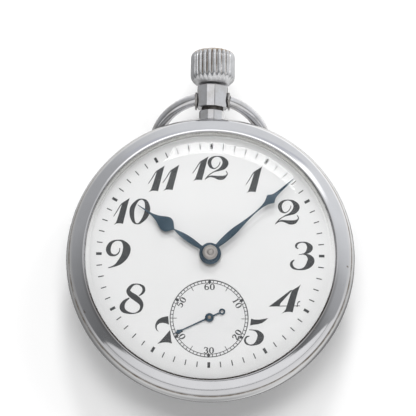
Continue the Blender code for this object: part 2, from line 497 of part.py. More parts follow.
bm_object("setting_wheel", prism_bm(gear_outline(24, 0.15, SETTING, -pi / 2), [circle(0.36, 10, SETTING)], 6.5, 6.72), (0.66, 0.66, 0.67), 0.3, 1.0,
          at=at(SETTING))
# the minute wheel's tooth that faces the setting wheel is a gap: see the phases above
bm_object("setting_cover", prism_bm([(-2.9, 7.2), (-1.4, 6.9), (1.4, 6.9), (2.9, 7.2), (3.4, 9.9), (-3.4, 9.9)], [], 6.94, 7.14), (0.66, 0.66, 0.67), 0.3, 1.0)

LEVER = (2.8, 18.4)
lever_out = [(3.4, 18.9), (2.9, 19.3), (0.3, 18.15), (-0.28, 18.05), (-0.28, 17.55), (0.4, 17.5), (2.9, 17.7), (3.9, 16.3), (4.7, 16.0), (4.6, 16.7)]
lever = bm_object("setting_lever", prism_bm(lever_out, [circle(0.4, 10, LEVER)], 6.94, 7.14), (0.6, 0.6, 0.62), 0.3, 1.0, at=at(LEVER))
boolean(lever, bm_object("lever_pin", prism_bm(circle(0.19, 8, (0.0, 17.8)), [], 5.03, 7.05), keep=False), "UNION")
bm_object("setting_lever_screw", lathe_z([(0.34, 5.2), (0.34, 7.12)], LEVER, n=10), (0.2, 0.24, 0.36), 0.3, 1.0, at=at(LEVER))

YOKE = (-4.0, 11.95)
yoke_out = [(-3.4, 12.6), (-4.4, 12.7), (-4.8, 11.9), (-4.3, 11.3), (-3.6, 11.3), (0.0, 12.1), (0.45, 12.25), (0.45, 12.65), (0.0, 12.75)]
yoke = bm_object("yoke", prism_bm(yoke_out, [circle(0.36, 8, YOKE)], 6.94, 7.14), (0.6, 0.6, 0.62), 0.3, 1.0, at=at(YOKE))
boolean(yoke, bm_object("yoke_tab", prism_bm([(-0.2, 12.2), (0.2, 12.2), (0.2, 12.6), (-0.2, 12.6)], [], 5.5, 7.05), keep=False), "UNION")
boolean(mainplate, bm_object("yoke_stud", prism_bm(circle(0.28, 8, YOKE), [], 6.7, 7.12), keep=False), "UNION")
spring_y = [(-9.2, 16.2), (-8.6, 16.9), (-5.2, 14.4), (-3.7, 12.95), (-3.95, 12.85), (-5.4, 14.0), (-8.6, 16.1), (-8.9, 15.8)]
bm_object("yoke_spring", prism_bm(spring_y, [], 6.95, 7.13), (0.5, 0.5, 0.53), 0.3, 1.0)

# =====================================================================
# dial and hands
# =====================================================================
dial = bm_object("dial", prism_bm(circle(DIAL_R, SEG), [circle(1.3, 16, CENTER), circle(0.45, 10, FOURTH)], DIAL_Z0, DIAL_Z1), (0.86, 0.87, 0.89), 0.4, 0.0)
boolean(dial, bm_object("subdial_recess_cutter", prism_bm(circle(6.85, 40, (-0.05, -11.2)), [], DIAL_Z1 - 0.12, DIAL_Z1 + 1), keep=False), "DIFFERENCE")
for tag, a in (("1", 62), ("2", 205)):
    boolean(dial, bm_object("dial_foot_" + tag, prism_bm(circle(0.5, 8, polar(19.3, a)), [], 5.9, DIAL_Z0 + 0.2), keep=False), "UNION")


def hand(name, c, clock, half, z0, z1, hole, rgb):
    """half: (distance along the hand, half width), from the tail round the boss to the tip."""
    a = radians(90 - clock)
    ax, ay = cos(a), sin(a)

    def put(u, v):
        return (c[0] + ax * u - ay * v, c[1] + ay * u + ax * v)
    right = [put(u, -v) for u, v in half]
    left = [put(u, v) for u, v in half[::-1] if v > 0]
    return bm_object(name, prism_bm(right + left, [circle(hole, 12, c)] if hole else [], z0, z1), rgb, 0.25, 0.8, at=at(c))


BLUE = (0.06, 0.11, 0.18)


def boss(r, a0, a1, n):
    return [(r * cos(radians(a0 + (a1 - a0) * i / n)), r * sin(radians(a0 + (a1 - a0) * i / n))) for i in range(n + 1)]


hand("hour_hand", CENTER, HOUR_A, [(-1.9, 0.0)] + boss(1.9, 155, 26, 5) + [(2.3, 0.37), (4.0, 0.5), (5.2, 0.48), (6.4, 0.32), (7.6, 0.09), (8.0, 0.54),
      (8.6, 1.15), (9.3, 1.32), (10.1, 1.08), (11.0, 0.57), (12.2, 0.23), (15.3, 0.05)], 8.6, 8.78, 1.2, BLUE)
hand("minute_hand", CENTER, MINUTE_A, [(-1.5, 0.0)] + boss(1.5, 155, 26, 5) + [(2.0, 0.38), (3.6, 0.55), (5.0, 0.6), (6.6, 0.48), (8.6, 0.22), (10.8, 0.12), (12.2, 0.2), (13.2, 0.46),
      (14.15, 0.93), (15.0, 0.46), (16.4, 0.24), (19.6, 0.05)], 9.4, 9.58, 0.84, BLUE)
hand("seconds_hand", FOURTH, SECOND_A, [(-2.96, 0.0), (-2.8, 0.38), (-2.42, 0.54), (-2.04, 0.38), (-1.9, 0.12), (-0.78, 0.12)] + boss(0.78, 150, 20, 4) +
     [(1.0, 0.12), (5.2, 0.11), (5.95, 0.37), (6.25, 0.1), (6.8, 0.03)], 7.72, 7.84, 0.26, BLUE)

# a guide empty on each moving assembly's axis
for name, loc in (("axis_bow", (0, BOW_PIVOT_Y, STEM_Z)), ("axis_stem", (0, CROWN_Y0, STEM_Z)), ("axis_center", (0, 0, 0))):
    e = bpy.data.objects.new(name, None)
    e.location = Vector(loc) * MM
    bpy.context.scene.collection.objects.link(e)
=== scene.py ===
import bpy
import bmesh
import math
from math import pi, sin, cos, atan2, hypot, radians, degrees, sqrt
from mathutils import Vector, Matrix
from mathutils.geometry import tessellate_polygon


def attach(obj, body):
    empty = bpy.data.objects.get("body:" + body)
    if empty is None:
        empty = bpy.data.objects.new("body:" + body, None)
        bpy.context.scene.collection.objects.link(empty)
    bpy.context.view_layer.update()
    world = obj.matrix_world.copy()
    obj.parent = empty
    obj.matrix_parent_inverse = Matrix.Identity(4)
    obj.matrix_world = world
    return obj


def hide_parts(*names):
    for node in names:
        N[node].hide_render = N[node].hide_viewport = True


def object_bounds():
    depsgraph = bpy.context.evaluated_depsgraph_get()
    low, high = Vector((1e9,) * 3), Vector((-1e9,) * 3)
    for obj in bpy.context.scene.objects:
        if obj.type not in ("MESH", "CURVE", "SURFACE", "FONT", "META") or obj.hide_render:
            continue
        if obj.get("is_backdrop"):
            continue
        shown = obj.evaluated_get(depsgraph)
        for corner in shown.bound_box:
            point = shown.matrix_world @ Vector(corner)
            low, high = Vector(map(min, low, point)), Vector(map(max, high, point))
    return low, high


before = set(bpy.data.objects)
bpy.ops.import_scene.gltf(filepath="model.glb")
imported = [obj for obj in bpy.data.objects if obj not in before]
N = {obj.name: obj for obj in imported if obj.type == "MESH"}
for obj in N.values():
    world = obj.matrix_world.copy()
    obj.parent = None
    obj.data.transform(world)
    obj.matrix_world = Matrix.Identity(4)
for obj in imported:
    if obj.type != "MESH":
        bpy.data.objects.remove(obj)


def note_size(tag):
    lo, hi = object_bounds()
    return {tag: [list(lo), list(hi)]}


sizes = note_size("loaded")

MM = 0.001
SC = bpy.context.scene

# ---------------------------------------------------------------- dimensions (mm), as in the CAD
STEM_Z = 4.5
DIAL_Z = 7.6
SUB_Z = 7.48
FOURTH = (0.0, -11.05)
SUB = (-0.05, -11.2)      # centre of the small dial's print and recess
BOW_Y = 28.25
RING_R, RING_E, WIRE_R, FOLD = 9.9, 9.3, 1.05, 40.0
HOUR_A, MINUTE_A, SECOND_A = 303.8, 47.6, 244.4


# ================================================================ materials
class Mat:
    """A small helper over a node tree."""

    def __init__(self, name):
        self.m = bpy.data.materials.new(name)
        self.m.use_nodes = True
        self.t = self.m.node_tree
        self.n = self.t.nodes
        self.b = self.n["Principled BSDF"]
        self.out = self.n["Material Output"]
        self.co = self.n.new("ShaderNodeTexCoord").outputs["Object"]

    def link(self, a, b):
        self.t.links.new(a, b)

    def new(self, kind, **props):
        n = self.n.new(kind)
        for k, v in props.items():
            setattr(n, k, v)
        return n

    def noise(self, scale, detail=3.0, rough=0.5, co=None, stretch=None):
        co = co or self.co
        if stretch:
            mp = self.new("ShaderNodeMapping")
            mp.inputs["Scale"].default_value = stretch
            self.link(co, mp.inputs["Vector"])
            co = mp.outputs["Vector"]
        n = self.new("ShaderNodeTexNoise")
        n.inputs["Scale"].default_value = scale
        n.inputs["Detail"].default_value = detail
        n.inputs["Roughness"].default_value = rough
        self.link(co, n.inputs["Vector"])
        return n.outputs["Fac"]

    def math(self, op, a, b=0.0, c=None, clamp=False):
        n = self.new("ShaderNodeMath", operation=op, use_clamp=clamp)
        for i, v in enumerate((a, b) if c is None else (a, b, c)):
            if isinstance(v, (int, float)):
                n.inputs[i].default_value = v
            else:
                self.link(v, n.inputs[i])
        return n.outputs[0]

    def ramp(self, fac, stops, mode="LINEAR"):
        n = self.new("ShaderNodeValToRGB")
        n.color_ramp.interpolation = mode
        e = n.color_ramp.elements
        while len(e) > 1:
            e.remove(e[-1])
        for i, (p, c) in enumerate(stops):
            c = (c, c, c) if isinstance(c, (int, float)) else c
            if i == 0:
                e[0].position = p
                e[0].color = (*c, 1)
            else:
                x = e.new(p)
                x.color = (*c, 1)
        self.link(fac, n.inputs["Fac"])
        return n.outputs["Color"]

    def mix(self, fac, a, b):
        n = self.new("ShaderNodeMix", data_type="RGBA")
        for sock, v in ((n.inputs["Factor"], fac), (n.inputs["A"], a), (n.inputs["B"], b)):
            if isinstance(v, tuple):
                sock.default_value = (*v, 1)
            elif isinstance(v, (int, float)):
                sock.default_value = v
            else:
                self.link(v, sock)
        return n.outputs["Result"]

    def bump(self, height, strength=0.1, dist=1e-5):
        n = self.new("ShaderNodeBump")
        n.inputs["Strength"].default_value = strength
        n.inputs["Distance"].default_value = dist
        self.link(height, n.inputs["Height"])
        self.link(n.outputs["Normal"], self.b.inputs["Normal"])

    def radius(self, c=(0, 0)):
        """Distance from an axis along Z, in mm."""
        s = self.new("ShaderNodeSeparateXYZ")
        self.link(self.co, s.inputs[0])
        x = self.math("SUBTRACT", s.outputs["X"], c[0] * MM)
        y = self.math("SUBTRACT", s.outputs["Y"], c[1] * MM)
        r = self.math("SQRT", self.math("ADD", self.math("MULTIPLY", x, x), self.math("MULTIPLY", y, y)))
        return self.math("MULTIPLY", r, 1000.0), x, y, s.outputs["Z"]


def metal(name, rgb, rough, spread=0.08, scale=900.0, tint=None, grain=None, scratch=0.0):
    """Metal whose colour and polish vary from place to place."""
    k = Mat(name)
    a = k.noise(scale, 4.0)
    f = k.noise(scale * 7, 2.0)
    dark = tuple(v * 0.86 for v in rgb) if tint is None else tint
    k.link(k.ramp(a, [(0.3, dark), (0.62, rgb)]), k.b.inputs["Base Color"])
    k.b.inputs["Metallic"].default_value = 1.0
    r = k.math("ADD", k.math("MULTIPLY", f, spread), rough)
    k.link(r, k.b.inputs["Roughness"])
    if grain:
        k.bump(k.noise(grain[0], 2.0, stretch=grain[1]), grain[2], 1e-5)
    elif scratch:
        k.bump(k.noise(2600.0, 5.0, 0.7), scratch, 1e-5)
    return k


def case_metal(name, rough=0.055, seam=None, base=(0.66, 0.66, 0.675), wear=0.5, pits=0.748, inner=None, foot=False):
    """Polished steel with fine wear, a few brown pits, and old dirt held in a seam (r0, r1, z0, z1 in mm); inner paints
    shade on the lip's 6 o'clock half and a grey painted shade on its lower flanks, foot paints a shadow on the low edge
    at 6 o'clock.
    """
    k = Mat(name)
    r, x, y, z = k.radius()
    soft = k.noise(350.0, 3.0)
    fine = k.noise(2400.0, 4.0, 0.65)
    body = k.ramp(soft, [(0.3, tuple(v * 0.96 for v in base)), (0.7, base)])
    amount = k.math("MULTIPLY", k.ramp(k.noise(900.0, 2.0, 0.5), [(pits, 0.0), (pits + 0.02, 1.0)]), 0.7)
    if seam:
        zz = k.math("MULTIPLY", z, 1000.0)
        m = k.math("MULTIPLY", k.math("GREATER_THAN", r, seam[0]), k.math("LESS_THAN", r, seam[1]))
        m = k.math("MULTIPLY", m, k.math("MULTIPLY", k.math("GREATER_THAN", zz, seam[2]), k.math("LESS_THAN", zz, seam[3])))
        uneven = k.ramp(k.noise(500.0, 2.0, 0.6), [(0.35, 0.35), (0.65, 1.0)])
        amount = k.math("MAXIMUM", amount, k.math("MULTIPLY", k.math("MULTIPLY", m, uneven), wear))
    finish = k.mix(amount, body, (0.20, 0.155, 0.11))
    # painted shade: round the inner lip the 6 o'clock half is painted near-black, and a grey wedge of painted shade
    # lies just outside it on the lower flanks
    if inner:
        m = k.math("MULTIPLY", k.math("GREATER_THAN", r, inner[0]), k.math("LESS_THAN", r, inner[1]))
        side = k.ramp(k.math("MULTIPLY_ADD", k.math("DIVIDE", y, k.math("MULTIPLY", r, 0.001)), -0.5, 0.5), [(0.0, 0.25), (0.5, 0.25), (0.68, 1.0), (1.0, 1.0)])
        finish = k.mix(k.math("MULTIPLY", m, side), finish, (0.07, 0.062, 0.058))
        fade = k.ramp(k.math("MULTIPLY_ADD", r, 0.5, -10.85), [(0.0, 0.0), (0.13, 0.0), (0.145, 0.9), (0.24, 0.7), (0.5, 0.0), (1.0, 0.0)])
        flank_painted_shade = k.ramp(k.math("MULTIPLY_ADD", k.math("DIVIDE", y, k.math("MULTIPLY", r, 0.001)), -0.5, 0.5), [(0.0, 0.0), (0.54, 0.1), (0.62, 0.75), (0.78, 1.0), (0.86, 0.4), (0.90, 0.0), (1.0, 0.0)])
        finish = k.mix(k.math("MULTIPLY", fade, flank_painted_shade), finish, (0.22, 0.21, 0.205))
    # painted shadow: the band's low edge, below about 2.9 mm and round 6 o'clock, is painted dark grey
    if foot:
        low = k.ramp(k.math("MULTIPLY", z, 200.0), [(0.0, 1.0), (0.575, 1.0), (0.63, 0.0), (1.0, 0.0)])
        south = k.ramp(k.math("MULTIPLY_ADD", k.math("DIVIDE", y, k.math("MULTIPLY", r, 0.001)), -0.5, 0.5), [(0.0, 0.0), (0.80, 0.0), (0.90, 1.0), (1.0, 1.0)])
        finish = k.mix(k.math("MULTIPLY", k.math("MULTIPLY", low, south), 0.75), finish, (0.22, 0.215, 0.21))
    k.link(finish, k.b.inputs["Base Color"])
    k.b.inputs["Metallic"].default_value = 1.0
    k.link(k.math("ADD", k.math("ADD", k.math("MULTIPLY", fine, 0.05), rough), k.math("MULTIPLY", amount, 0.35)), k.b.inputs["Roughness"])
    k.bump(k.math("SUBTRACT", fine, k.math("MULTIPLY", amount, 1.0)), 0.05, 1e-5)
    return k.m


M = {}
# the bezel gets painted shade on its inner lip (inner)
M["bezel"] = case_metal("bezel_finish", 0.05, seam=(24.4, 24.6, 6.05, 6.34), wear=0.8, inner=(21.7, 22.06))
# the band gets a painted shadow at its low 6 o'clock edge (foot)
M["case"] = case_metal("case_finish", 0.08, seam=(24.5, 24.76, 5.84, 6.1), wear=0.8, base=(0.60, 0.60, 0.605), foot=True)
M["back"] = case_metal("back_finish", 0.10, seam=(24.6, 24.95, 2.4, 2.76), wear=0.6)
M["pendant"] = metal("pendant_finish", (0.66, 0.66, 0.675), 0.09, 0.05, 700.0, tint=(0.58, 0.57, 0.56), scratch=0.05).m
# painted shade: the pendant's groove ring is coloured near-black to stand for the shade inside the recess
M["painted_groove_shade"] = metal("pendant_groove_painted_shade", (0.13, 0.12, 0.115), 0.42, 0.1, 900.0, tint=(0.06, 0.055, 0.05)).m
M["bow_boss"] = metal("bow_boss_finish", (0.46, 0.45, 0.44), 0.26, 0.1, 900.0, tint=(0.26, 0.24, 0.22)).m
M["bow"] = metal("bow_finish", (0.66, 0.66, 0.68), 0.09, 0.07, 600.0, tint=(0.55, 0.54, 0.53), scratch=0.06).m


def crown_material():
    """Steel whose grooves hold brown wear, and whose base carries a painted highlight."""
    k = Mat("crown_finish")
    s = k.new("ShaderNodeSeparateXYZ")
    k.link(k.co, s.inputs[0])
    zz = k.math("SUBTRACT", s.outputs["Z"], STEM_Z * MM)
    rr = k.math("MULTIPLY", k.math("SQRT", k.math("ADD", k.math("MULTIPLY", s.outputs["X"], s.outputs["X"]), k.math("MULTIPLY", zz, zz))), 1000.0)
    groove = k.ramp(rr, [(0.0, 0.0), (1.0, 0.0)])
    deep = k.math("MULTIPLY", k.math("MULTIPLY", k.math("LESS_THAN", rr, 3.62), k.math("GREATER_THAN", rr, 2.2)), k.math("GREATER_THAN", s.outputs["Y"], 32.5 * MM))
    spots = k.ramp(k.noise(420.0, 3.0), [(0.38, 0.0), (0.62, 1.0)])
    amount = k.math("MULTIPLY", deep, k.math("ADD", k.math("MULTIPLY", spots, 0.6), 0.2))
    body = k.ramp(k.noise(900.0, 3.0), [(0.3, (0.56, 0.56, 0.565)), (0.65, (0.68, 0.68, 0.69))])
    # painted highlight: below about 31.6 mm along the stem the base is painted brighter, towards near-white, and made
    # rougher
    foot = k.math("MULTIPLY", k.ramp(k.math("MULTIPLY", s.outputs["Y"], 10.0), [(0.0, 1.0), (0.3155, 1.0), (0.323, 0.0), (1.0, 0.0)]), 0.35)
    body = k.mix(foot, body, (0.94, 0.94, 0.95))
    k.link(k.mix(amount, body, (0.30, 0.21, 0.12)), k.b.inputs["Base Color"])
    k.b.inputs["Metallic"].default_value = 1.0
    k.link(k.math("ADD", k.math("ADD", k.math("MULTIPLY", amount, 0.3), 0.13), k.math("MULTIPLY", foot, 0.7)), k.b.inputs["Roughness"])
    k.bump(k.noise(2600.0, 4.0, 0.7), 0.08, 1e-5)
    return k.m


M["crown"] = crown_material()


def dial_material(name, centre, base, shade, r_out=None):
    """White lacquer with the faintest mottling, with painted shade darkening it towards its rim."""
    k = Mat(name)
    r, x, y, z = k.radius(centre)
    tone = k.ramp(k.noise(160.0, 3.0), [(0.25, tuple(v * 0.985 for v in base)), (0.75, base)])
    # painted shade: the outer tenth of the dial, or the outer 3% of the small dial, blends into the shade colour
    edge = k.ramp(k.math("MULTIPLY", r, 1.0 / 21.0), [(0.90, 0.0), (1.0, 1.0)]) if r_out is None else k.ramp(k.math("MULTIPLY", r, 1.0 / r_out), [(0.97, 0.0), (1.0, 1.0)])
    k.link(k.mix(edge, tone, shade), k.b.inputs["Base Color"])
    k.link(k.math("ADD", k.math("MULTIPLY", k.noise(1200.0, 2.0), 0.08), 0.30), k.b.inputs["Roughness"])
    k.b.inputs["Coat Weight"].default_value = 0.25
    k.b.inputs["Coat Roughness"].default_value = 0.12
    k.bump(k.noise(700.0, 3.0), 0.02, 1e-5)
    return k.m


M["dial"] = dial_material("dial_finish", (0, 0), (0.712, 0.714, 0.714), (0.684, 0.686, 0.686))
M["subdial"] = dial_material("subdial_finish", SUB, (0.69, 0.692, 0.694), (0.63, 0.635, 0.637), 6.85)


def ink():
    k = Mat("ink_finish")
    k.link(k.ramp(k.noise(2200.0, 3.0), [(0.3, (0.036, 0.038, 0.040)), (0.7, (0.058, 0.060, 0.062))]), k.b.inputs["Base Color"])
    k.link(k.math("ADD", k.math("MULTIPLY", k.noise(3000.0), 0.2), 0.4), k.b.inputs["Roughness"])
    return k.m


M["ink"] = ink()


def blued(name, a=(0.048, 0.078, 0.106), b=(0.088, 0.132, 0.170), rough=0.26):
    k = Mat(name)
    k.link(k.ramp(k.noise(420.0, 3.0), [(0.3, a), (0.7, b)]), k.b.inputs["Base Color"])
    k.b.inputs["Metallic"].default_value = 0.85
    k.link(k.math("ADD", k.math("MULTIPLY", k.noise(1800.0, 3.0), 0.15), rough), k.b.inputs["Roughness"])
    k.bump(k.noise(2400.0, 4.0, 0.6), 0.06, 1e-5)
    return k.m


M["blue"] = blued("blued_steel_finish")
M["blue_screw"] = blued("blued_screw_finish", (0.02, 0.03, 0.09), (0.04, 0.06, 0.16), 0.18)


def crystal_material():
    """Clear over the dial; its upright rim is painted a cloudy grey on the 12 o'clock side only, as painted shade, and
    so greys and throws a soft shadow.
    """
    k = Mat("crystal_finish")
    k.n.remove(k.b)
    r, x, y, z = k.radius()
    edge = k.ramp(k.math("MULTIPLY_ADD", r, 0.5, -10.0), [(0.0, 0.0), (0.36, 0.0), (0.56, 0.42), (1.0, 0.42)])
    # painted shade: the grey is kept to the rim's 12 o'clock side, where the shade falls
    high = k.ramp(k.math("DIVIDE", y, k.math("MULTIPLY", r, 0.001)), [(0.0, 0.0), (0.25, 0.1), (0.75, 1.0)])
    rim = k.math("MULTIPLY", edge, high)
    clean = k.ramp(k.math("MULTIPLY_ADD", r, 0.5, -10.0), [(0.0, 1.0), (0.3, 1.0), (0.5, 0.0), (1.0, 0.0)])
    tr = k.new("ShaderNodeBsdfTransparent")
    tr.inputs["Color"].default_value = (0.988, 0.988, 0.988, 1)
    df = k.new("ShaderNodeBsdfDiffuse")
    k.link(k.ramp(k.noise(600.0, 3.0), [(0.3, (0.42, 0.42, 0.40)), (0.7, (0.50, 0.50, 0.48))]), df.inputs["Color"])
    body = k.new("ShaderNodeMixShader")
    k.link(rim, body.inputs[0])
    k.link(tr.outputs[0], body.inputs[1])
    k.link(df.outputs[0], body.inputs[2])
    gl = k.new("ShaderNodeBsdfGlossy")
    gl.inputs["Color"].default_value = (1, 1, 1, 1)
    k.link(k.math("ADD", k.math("MULTIPLY", k.noise(500.0), 0.03), 0.03), gl.inputs["Roughness"])
    fr = k.new("ShaderNodeFresnel")
    fr.inputs["IOR"].default_value = 1.3
    mx = k.new("ShaderNodeMixShader")
    k.link(k.math("MULTIPLY", k.math("MULTIPLY", fr.outputs[0], 0.45), clean), mx.inputs[0])
    k.link(body.outputs[0], mx.inputs[1])
    k.link(gl.outputs[0], mx.inputs[2])
    k.link(mx.outputs[0], k.out.inputs["Surface"])
    return k.m


M["crystal"] = crystal_material()


def turned(name, rgb, centre, rough=0.22, pitch=8.0, strength=0.25):
    """Metal with concentric turning marks about an axis."""
    k = Mat(name)
    r, x, y, z = k.radius(centre)
    w = k.math("SINE", k.math("MULTIPLY", r, pitch * 2 * pi / 1.0))
    k.link(k.ramp(k.math("MULTIPLY_ADD", w, 0.5, 0.5), [(0.0, tuple(v * 0.75 for v in rgb)), (1.0, rgb)]), k.b.inputs["Base Color"])
    k.b.inputs["Metallic"].default_value = 1.0
    k.link(k.math("ADD", k.math("MULTIPLY", k.noise(1200.0), 0.12), rough), k.b.inputs["Roughness"])
    k.bump(w, strength, 1e-5)
    return k.m


M["hub"] = turned("hub_finish", (0.54, 0.51, 0.48), (0, 0), 0.30, 1.6, 0.12)
M["seconds_pin"] = turned("seconds_pin_finish", (0.42, 0.37, 0.32), FOURTH, 0.32, 4.0, 0.2)


def stripes(name, rgb, rough=0.22):
    """Ground stripes across a bridge."""
    k = Mat(name)
    s = k.new("ShaderNodeSeparateXYZ")
    k.link(k.co, s.inputs[0])
    w = k.math("SINE", k.math("MULTIPLY", k.math("ADD", s.outputs["X"], k.math("MULTIPLY", s.outputs["Y"], 0.6)), 2 * pi / 0.0018))
    k.link(k.ramp(k.math("MULTIPLY_ADD", w, 0.5, 0.5), [(0.0, tuple(v * 0.82 for v in rgb)), (1.0, rgb)]), k.b.inputs["Base Color"])
    k.b.inputs["Metallic"].default_value = 1.0
    k.link(k.math("ADD", k.math("MULTIPLY", k.noise(900.0, 3.0), 0.12), rough), k.b.inputs["Roughness"])
    k.bump(k.noise(1500.0, 3.0, stretch=(8.0, 1.0, 1.0)), 0.06, 1e-5)
    return k.m


M["bridge"] = stripes("bridge_finish", (0.74, 0.73, 0.68))
M["plate"] = metal("plate_finish", (0.73, 0.70, 0.60), 0.30, 0.15, 500.0, grain=(1400.0, (1.0, 1.0, 1.0), 0.15)).m
M["steel"] = metal("movement_steel_finish", (0.62, 0.62, 0.64), 0.20, 0.12, 700.0, grain=(1600.0, (6.0, 1.0, 1.0), 0.08)).m
M["brass"] = metal("wheel_brass_finish", (0.80, 0.62, 0.30), 0.22, 0.12, 700.0, grain=(1600.0, (1.0, 6.0, 1.0), 0.08)).m


def ruby():
    k = Mat("ruby_finish")
    k.link(k.ramp(k.noise(900.0), [(0.3, (0.42, 0.01, 0.05)), (0.7, (0.70, 0.03, 0.11))]), k.b.inputs["Base Color"])
    k.b.inputs["Roughness"].default_value = 0.06
    k.b.inputs["Coat Weight"].default_value = 0.8
    return k.m


M["ruby"] = ruby()

# every CAD node gets its finish, whether it stays visible or not
FINISH = {
    "blue_screw": ["case_screw_1", "case_screw_2", "dial_foot_screw_1", "dial_foot_screw_2", "barrel_bridge_screw_1", "barrel_bridge_screw_2",
                   "train_bridge_screw", "balance_cock_screw", "crown_wheel_screw", "ratchet_screw", "setting_lever_screw", "hairspring"],
    "blue": ["hour_hand", "minute_hand", "seconds_hand"],
    "steel": ["stem", "winding_pinion", "clutch_wheel", "setting_lever", "yoke", "yoke_spring", "setting_cover", "setting_wheel", "crown_wheel",
              "ratchet_wheel", "click", "click_spring", "cannon_pinion", "pallet_fork", "balance_staff", "roller_table", "regulator_index",
              "barrel_arbor", "mainspring", "escape_wheel"],
    "plate": ["mainplate"],
    "bridge": ["barrel_bridge", "train_bridge", "pallet_bridge", "balance_cock"],
    "brass": ["barrel_drum", "barrel_cover", "center_wheel", "third_wheel", "fourth_wheel", "minute_wheel", "hour_wheel", "balance_wheel"],
    "ruby": ["jewel_third", "jewel_fourth", "jewel_escape", "jewel_balance"],
    "bezel": ["bezel"], "case": ["case_middle"], "back": ["case_back"], "pendant": ["pendant"], "bow": ["bow"], "crown": ["crown"],
    "crystal": ["crystal"], "dial": ["dial"],
}
for key, names in FINISH.items():
    for n in names:
        ob = N[n]
        ob.data.materials.clear()
        ob.data.materials.append(M[key])


# ================================================================ mesh helpers
def make(name, bm, mat, body, smooth=30.0, mats=None):
    """bm is in millimetres, in the row frame."""
    bmesh.ops.remove_doubles(bm, verts=bm.verts, dist=1e-6)
    bmesh.ops.recalc_face_normals(bm, faces=bm.faces)
    for v in bm.verts:
        v.co *= MM
    me = bpy.data.meshes.new(name)
    bm.to_mesh(me)
    bm.free()
    if smooth:
        me.shade_smooth()
        me.set_sharp_from_angle(angle=radians(smooth))
    ob = bpy.data.objects.new(name, me)
    SC.collection.objects.link(ob)
    ob.data.materials.append(M[mat] if isinstance(mat, str) else mat)
    for extra in mats or []:
        ob.data.materials.append(M[extra])
    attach(ob, body)
    return ob


def circle(r, n=64, c=(0, 0), phase=0.0):
    return [(c[0] + r * cos(phase + 2 * pi * i / n), c[1] + r * sin(phase + 2 * pi * i / n)) for i in range(n)]


def prism(outer, holes, z0, z1, bm=None, mi=0):
    bm = bm or bmesh.new()
    loops = [outer] + list(holes)
    flat = [(x, y) for loop in loops for x, y in loop]
    tris = tessellate_polygon([[Vector((x, y, 0)) for x, y in loop] for loop in loops])
    low = [bm.verts.new((x, y, z0)) for x, y in flat]
    top = [bm.verts.new((x, y, z1)) for x, y in flat]
    made = []
    for a, b, c in tris:
        if len({a, b, c}) == 3:
            made.append(bm.faces.new((top[a], top[b], top[c])))
            made.append(bm.faces.new((low[c], low[b], low[a])))
    k = 0
    for loop in loops:
        n = len(loop)
        for i in range(n):
            a, b = k + i, k + (i + 1) % n
            made.append(bm.faces.new((low[a], low[b], top[b], top[a])))
        k += n
    for f in made:
        f.material_index = mi
    return bm


def rings(rs, loop=False, bm=None, caps=True):
    bm = bm or bmesh.new()
    vs = [[bm.verts.new(p) for p in r] for r in rs]
    n = len(rs[0])
    for a, b in list(zip(vs, vs[1:])) + ([(vs[-1], vs[0])] if loop else []):
        for i in range(n):
            j = (i + 1) % n
            bm.faces.new((a[i], a[j], b[j], b[i]))
    if not loop and caps:
        bm.faces.new(vs[0][::-1])
        bm.faces.new(vs[-1])
    return bm


def lathe(profile, c=(0, 0), n=192, loop=False, bm=None, phase=0.0):
    return rings([[(c[0] + r * cos(phase + 2 * pi * i / n), c[1] + r * sin(phase + 2 * pi * i / n), z) for i in range(n)] for r, z in profile], loop, bm)


def lathe_y(profile, n=96, loop=False, bm=None, phase=0.0):
    return rings([[(r * cos(phase + 2 * pi * i / n), y, STEM_Z + r * sin(phase + 2 * pi * i / n)) for i in range(n)] for r, y in profile], loop, bm)


def spline(points, per=6):
    """Catmull-Rom through the points, ends included."""
    p = [points[0]] + list(points) + [points[-1]]
    out = []
    for i in range(1, len(p) - 2):
        for k in range(per):
            t = k / per
            out.append(tuple(
                0.5 * (2 * b + (c - a) * t + (2 * a - 5 * b + 4 * c - d) * t * t + (3 * b - a - 3 * c + d) * t ** 3)
                for a, b, c, d in zip(p[i - 1], p[i], p[i + 1], p[i + 2])))
    out.append(tuple(points[-1]))
    return out


# ================================================================ case
bezel_profile = (
    [(21.78, 7.38), (23.24, 7.38), (23.24, 6.1), (24.46, 6.1)]
    + spline([(24.52, 6.14), (24.55, 6.28), (24.53, 6.56), (24.44, 6.86), (24.29, 7.11), (24.0, 7.4), (23.65, 7.6), (23.3, 7.76), (22.9, 7.88), (22.45, 7.965)], 4)
    + spline([(22.4, 7.975), (22.2, 7.995), (21.98, 7.995), (21.86, 7.96), (21.79, 7.88)], 3) + [(21.78, 7.8)])
bezel = make("bezel_shell", lathe(bezel_profile, n=256, loop=True), "bezel", "bezel_and_crystal", 32)
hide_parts("bezel")

case_profile = (
    [(23.3, 2.72), (24.93, 2.72)] + spline([(25.0, 2.74), (25.15, 2.84), (25.22, 3.05), (25.245, 3.6), (25.235, 4.2), (25.15, 4.75), (24.99, 5.3), (24.8, 5.74), (24.69, 5.93)], 4)
    + [(24.63, 6.0), (23.22, 6.0), (23.22, 7.3), (21.95, 7.3), (21.95, 7.14), (21.6, 7.14), (21.6, 3.36), (23.3, 3.36)])
band = make("case_band", lathe(case_profile, n=256, loop=True), "case", "case", 32)
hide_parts("case_middle")

back_profile = (
    [(0.01, 0.0), (8.9, 0.0)] + spline([(9.2, 0.012), (14.5, 0.28), (19.0, 0.78), (22.0, 1.33), (23.9, 1.86), (24.65, 2.25), (24.8, 2.58)], 5)
    + [(24.74, 2.65), (23.22, 2.65), (23.22, 3.2), (22.72, 3.2), (22.52, 2.15), (19.0, 1.48), (9.0, 0.8), (0.01, 0.8)])
back = make("back_shell", lathe(back_profile, n=256), "back", "back", 32)
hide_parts("case_back")

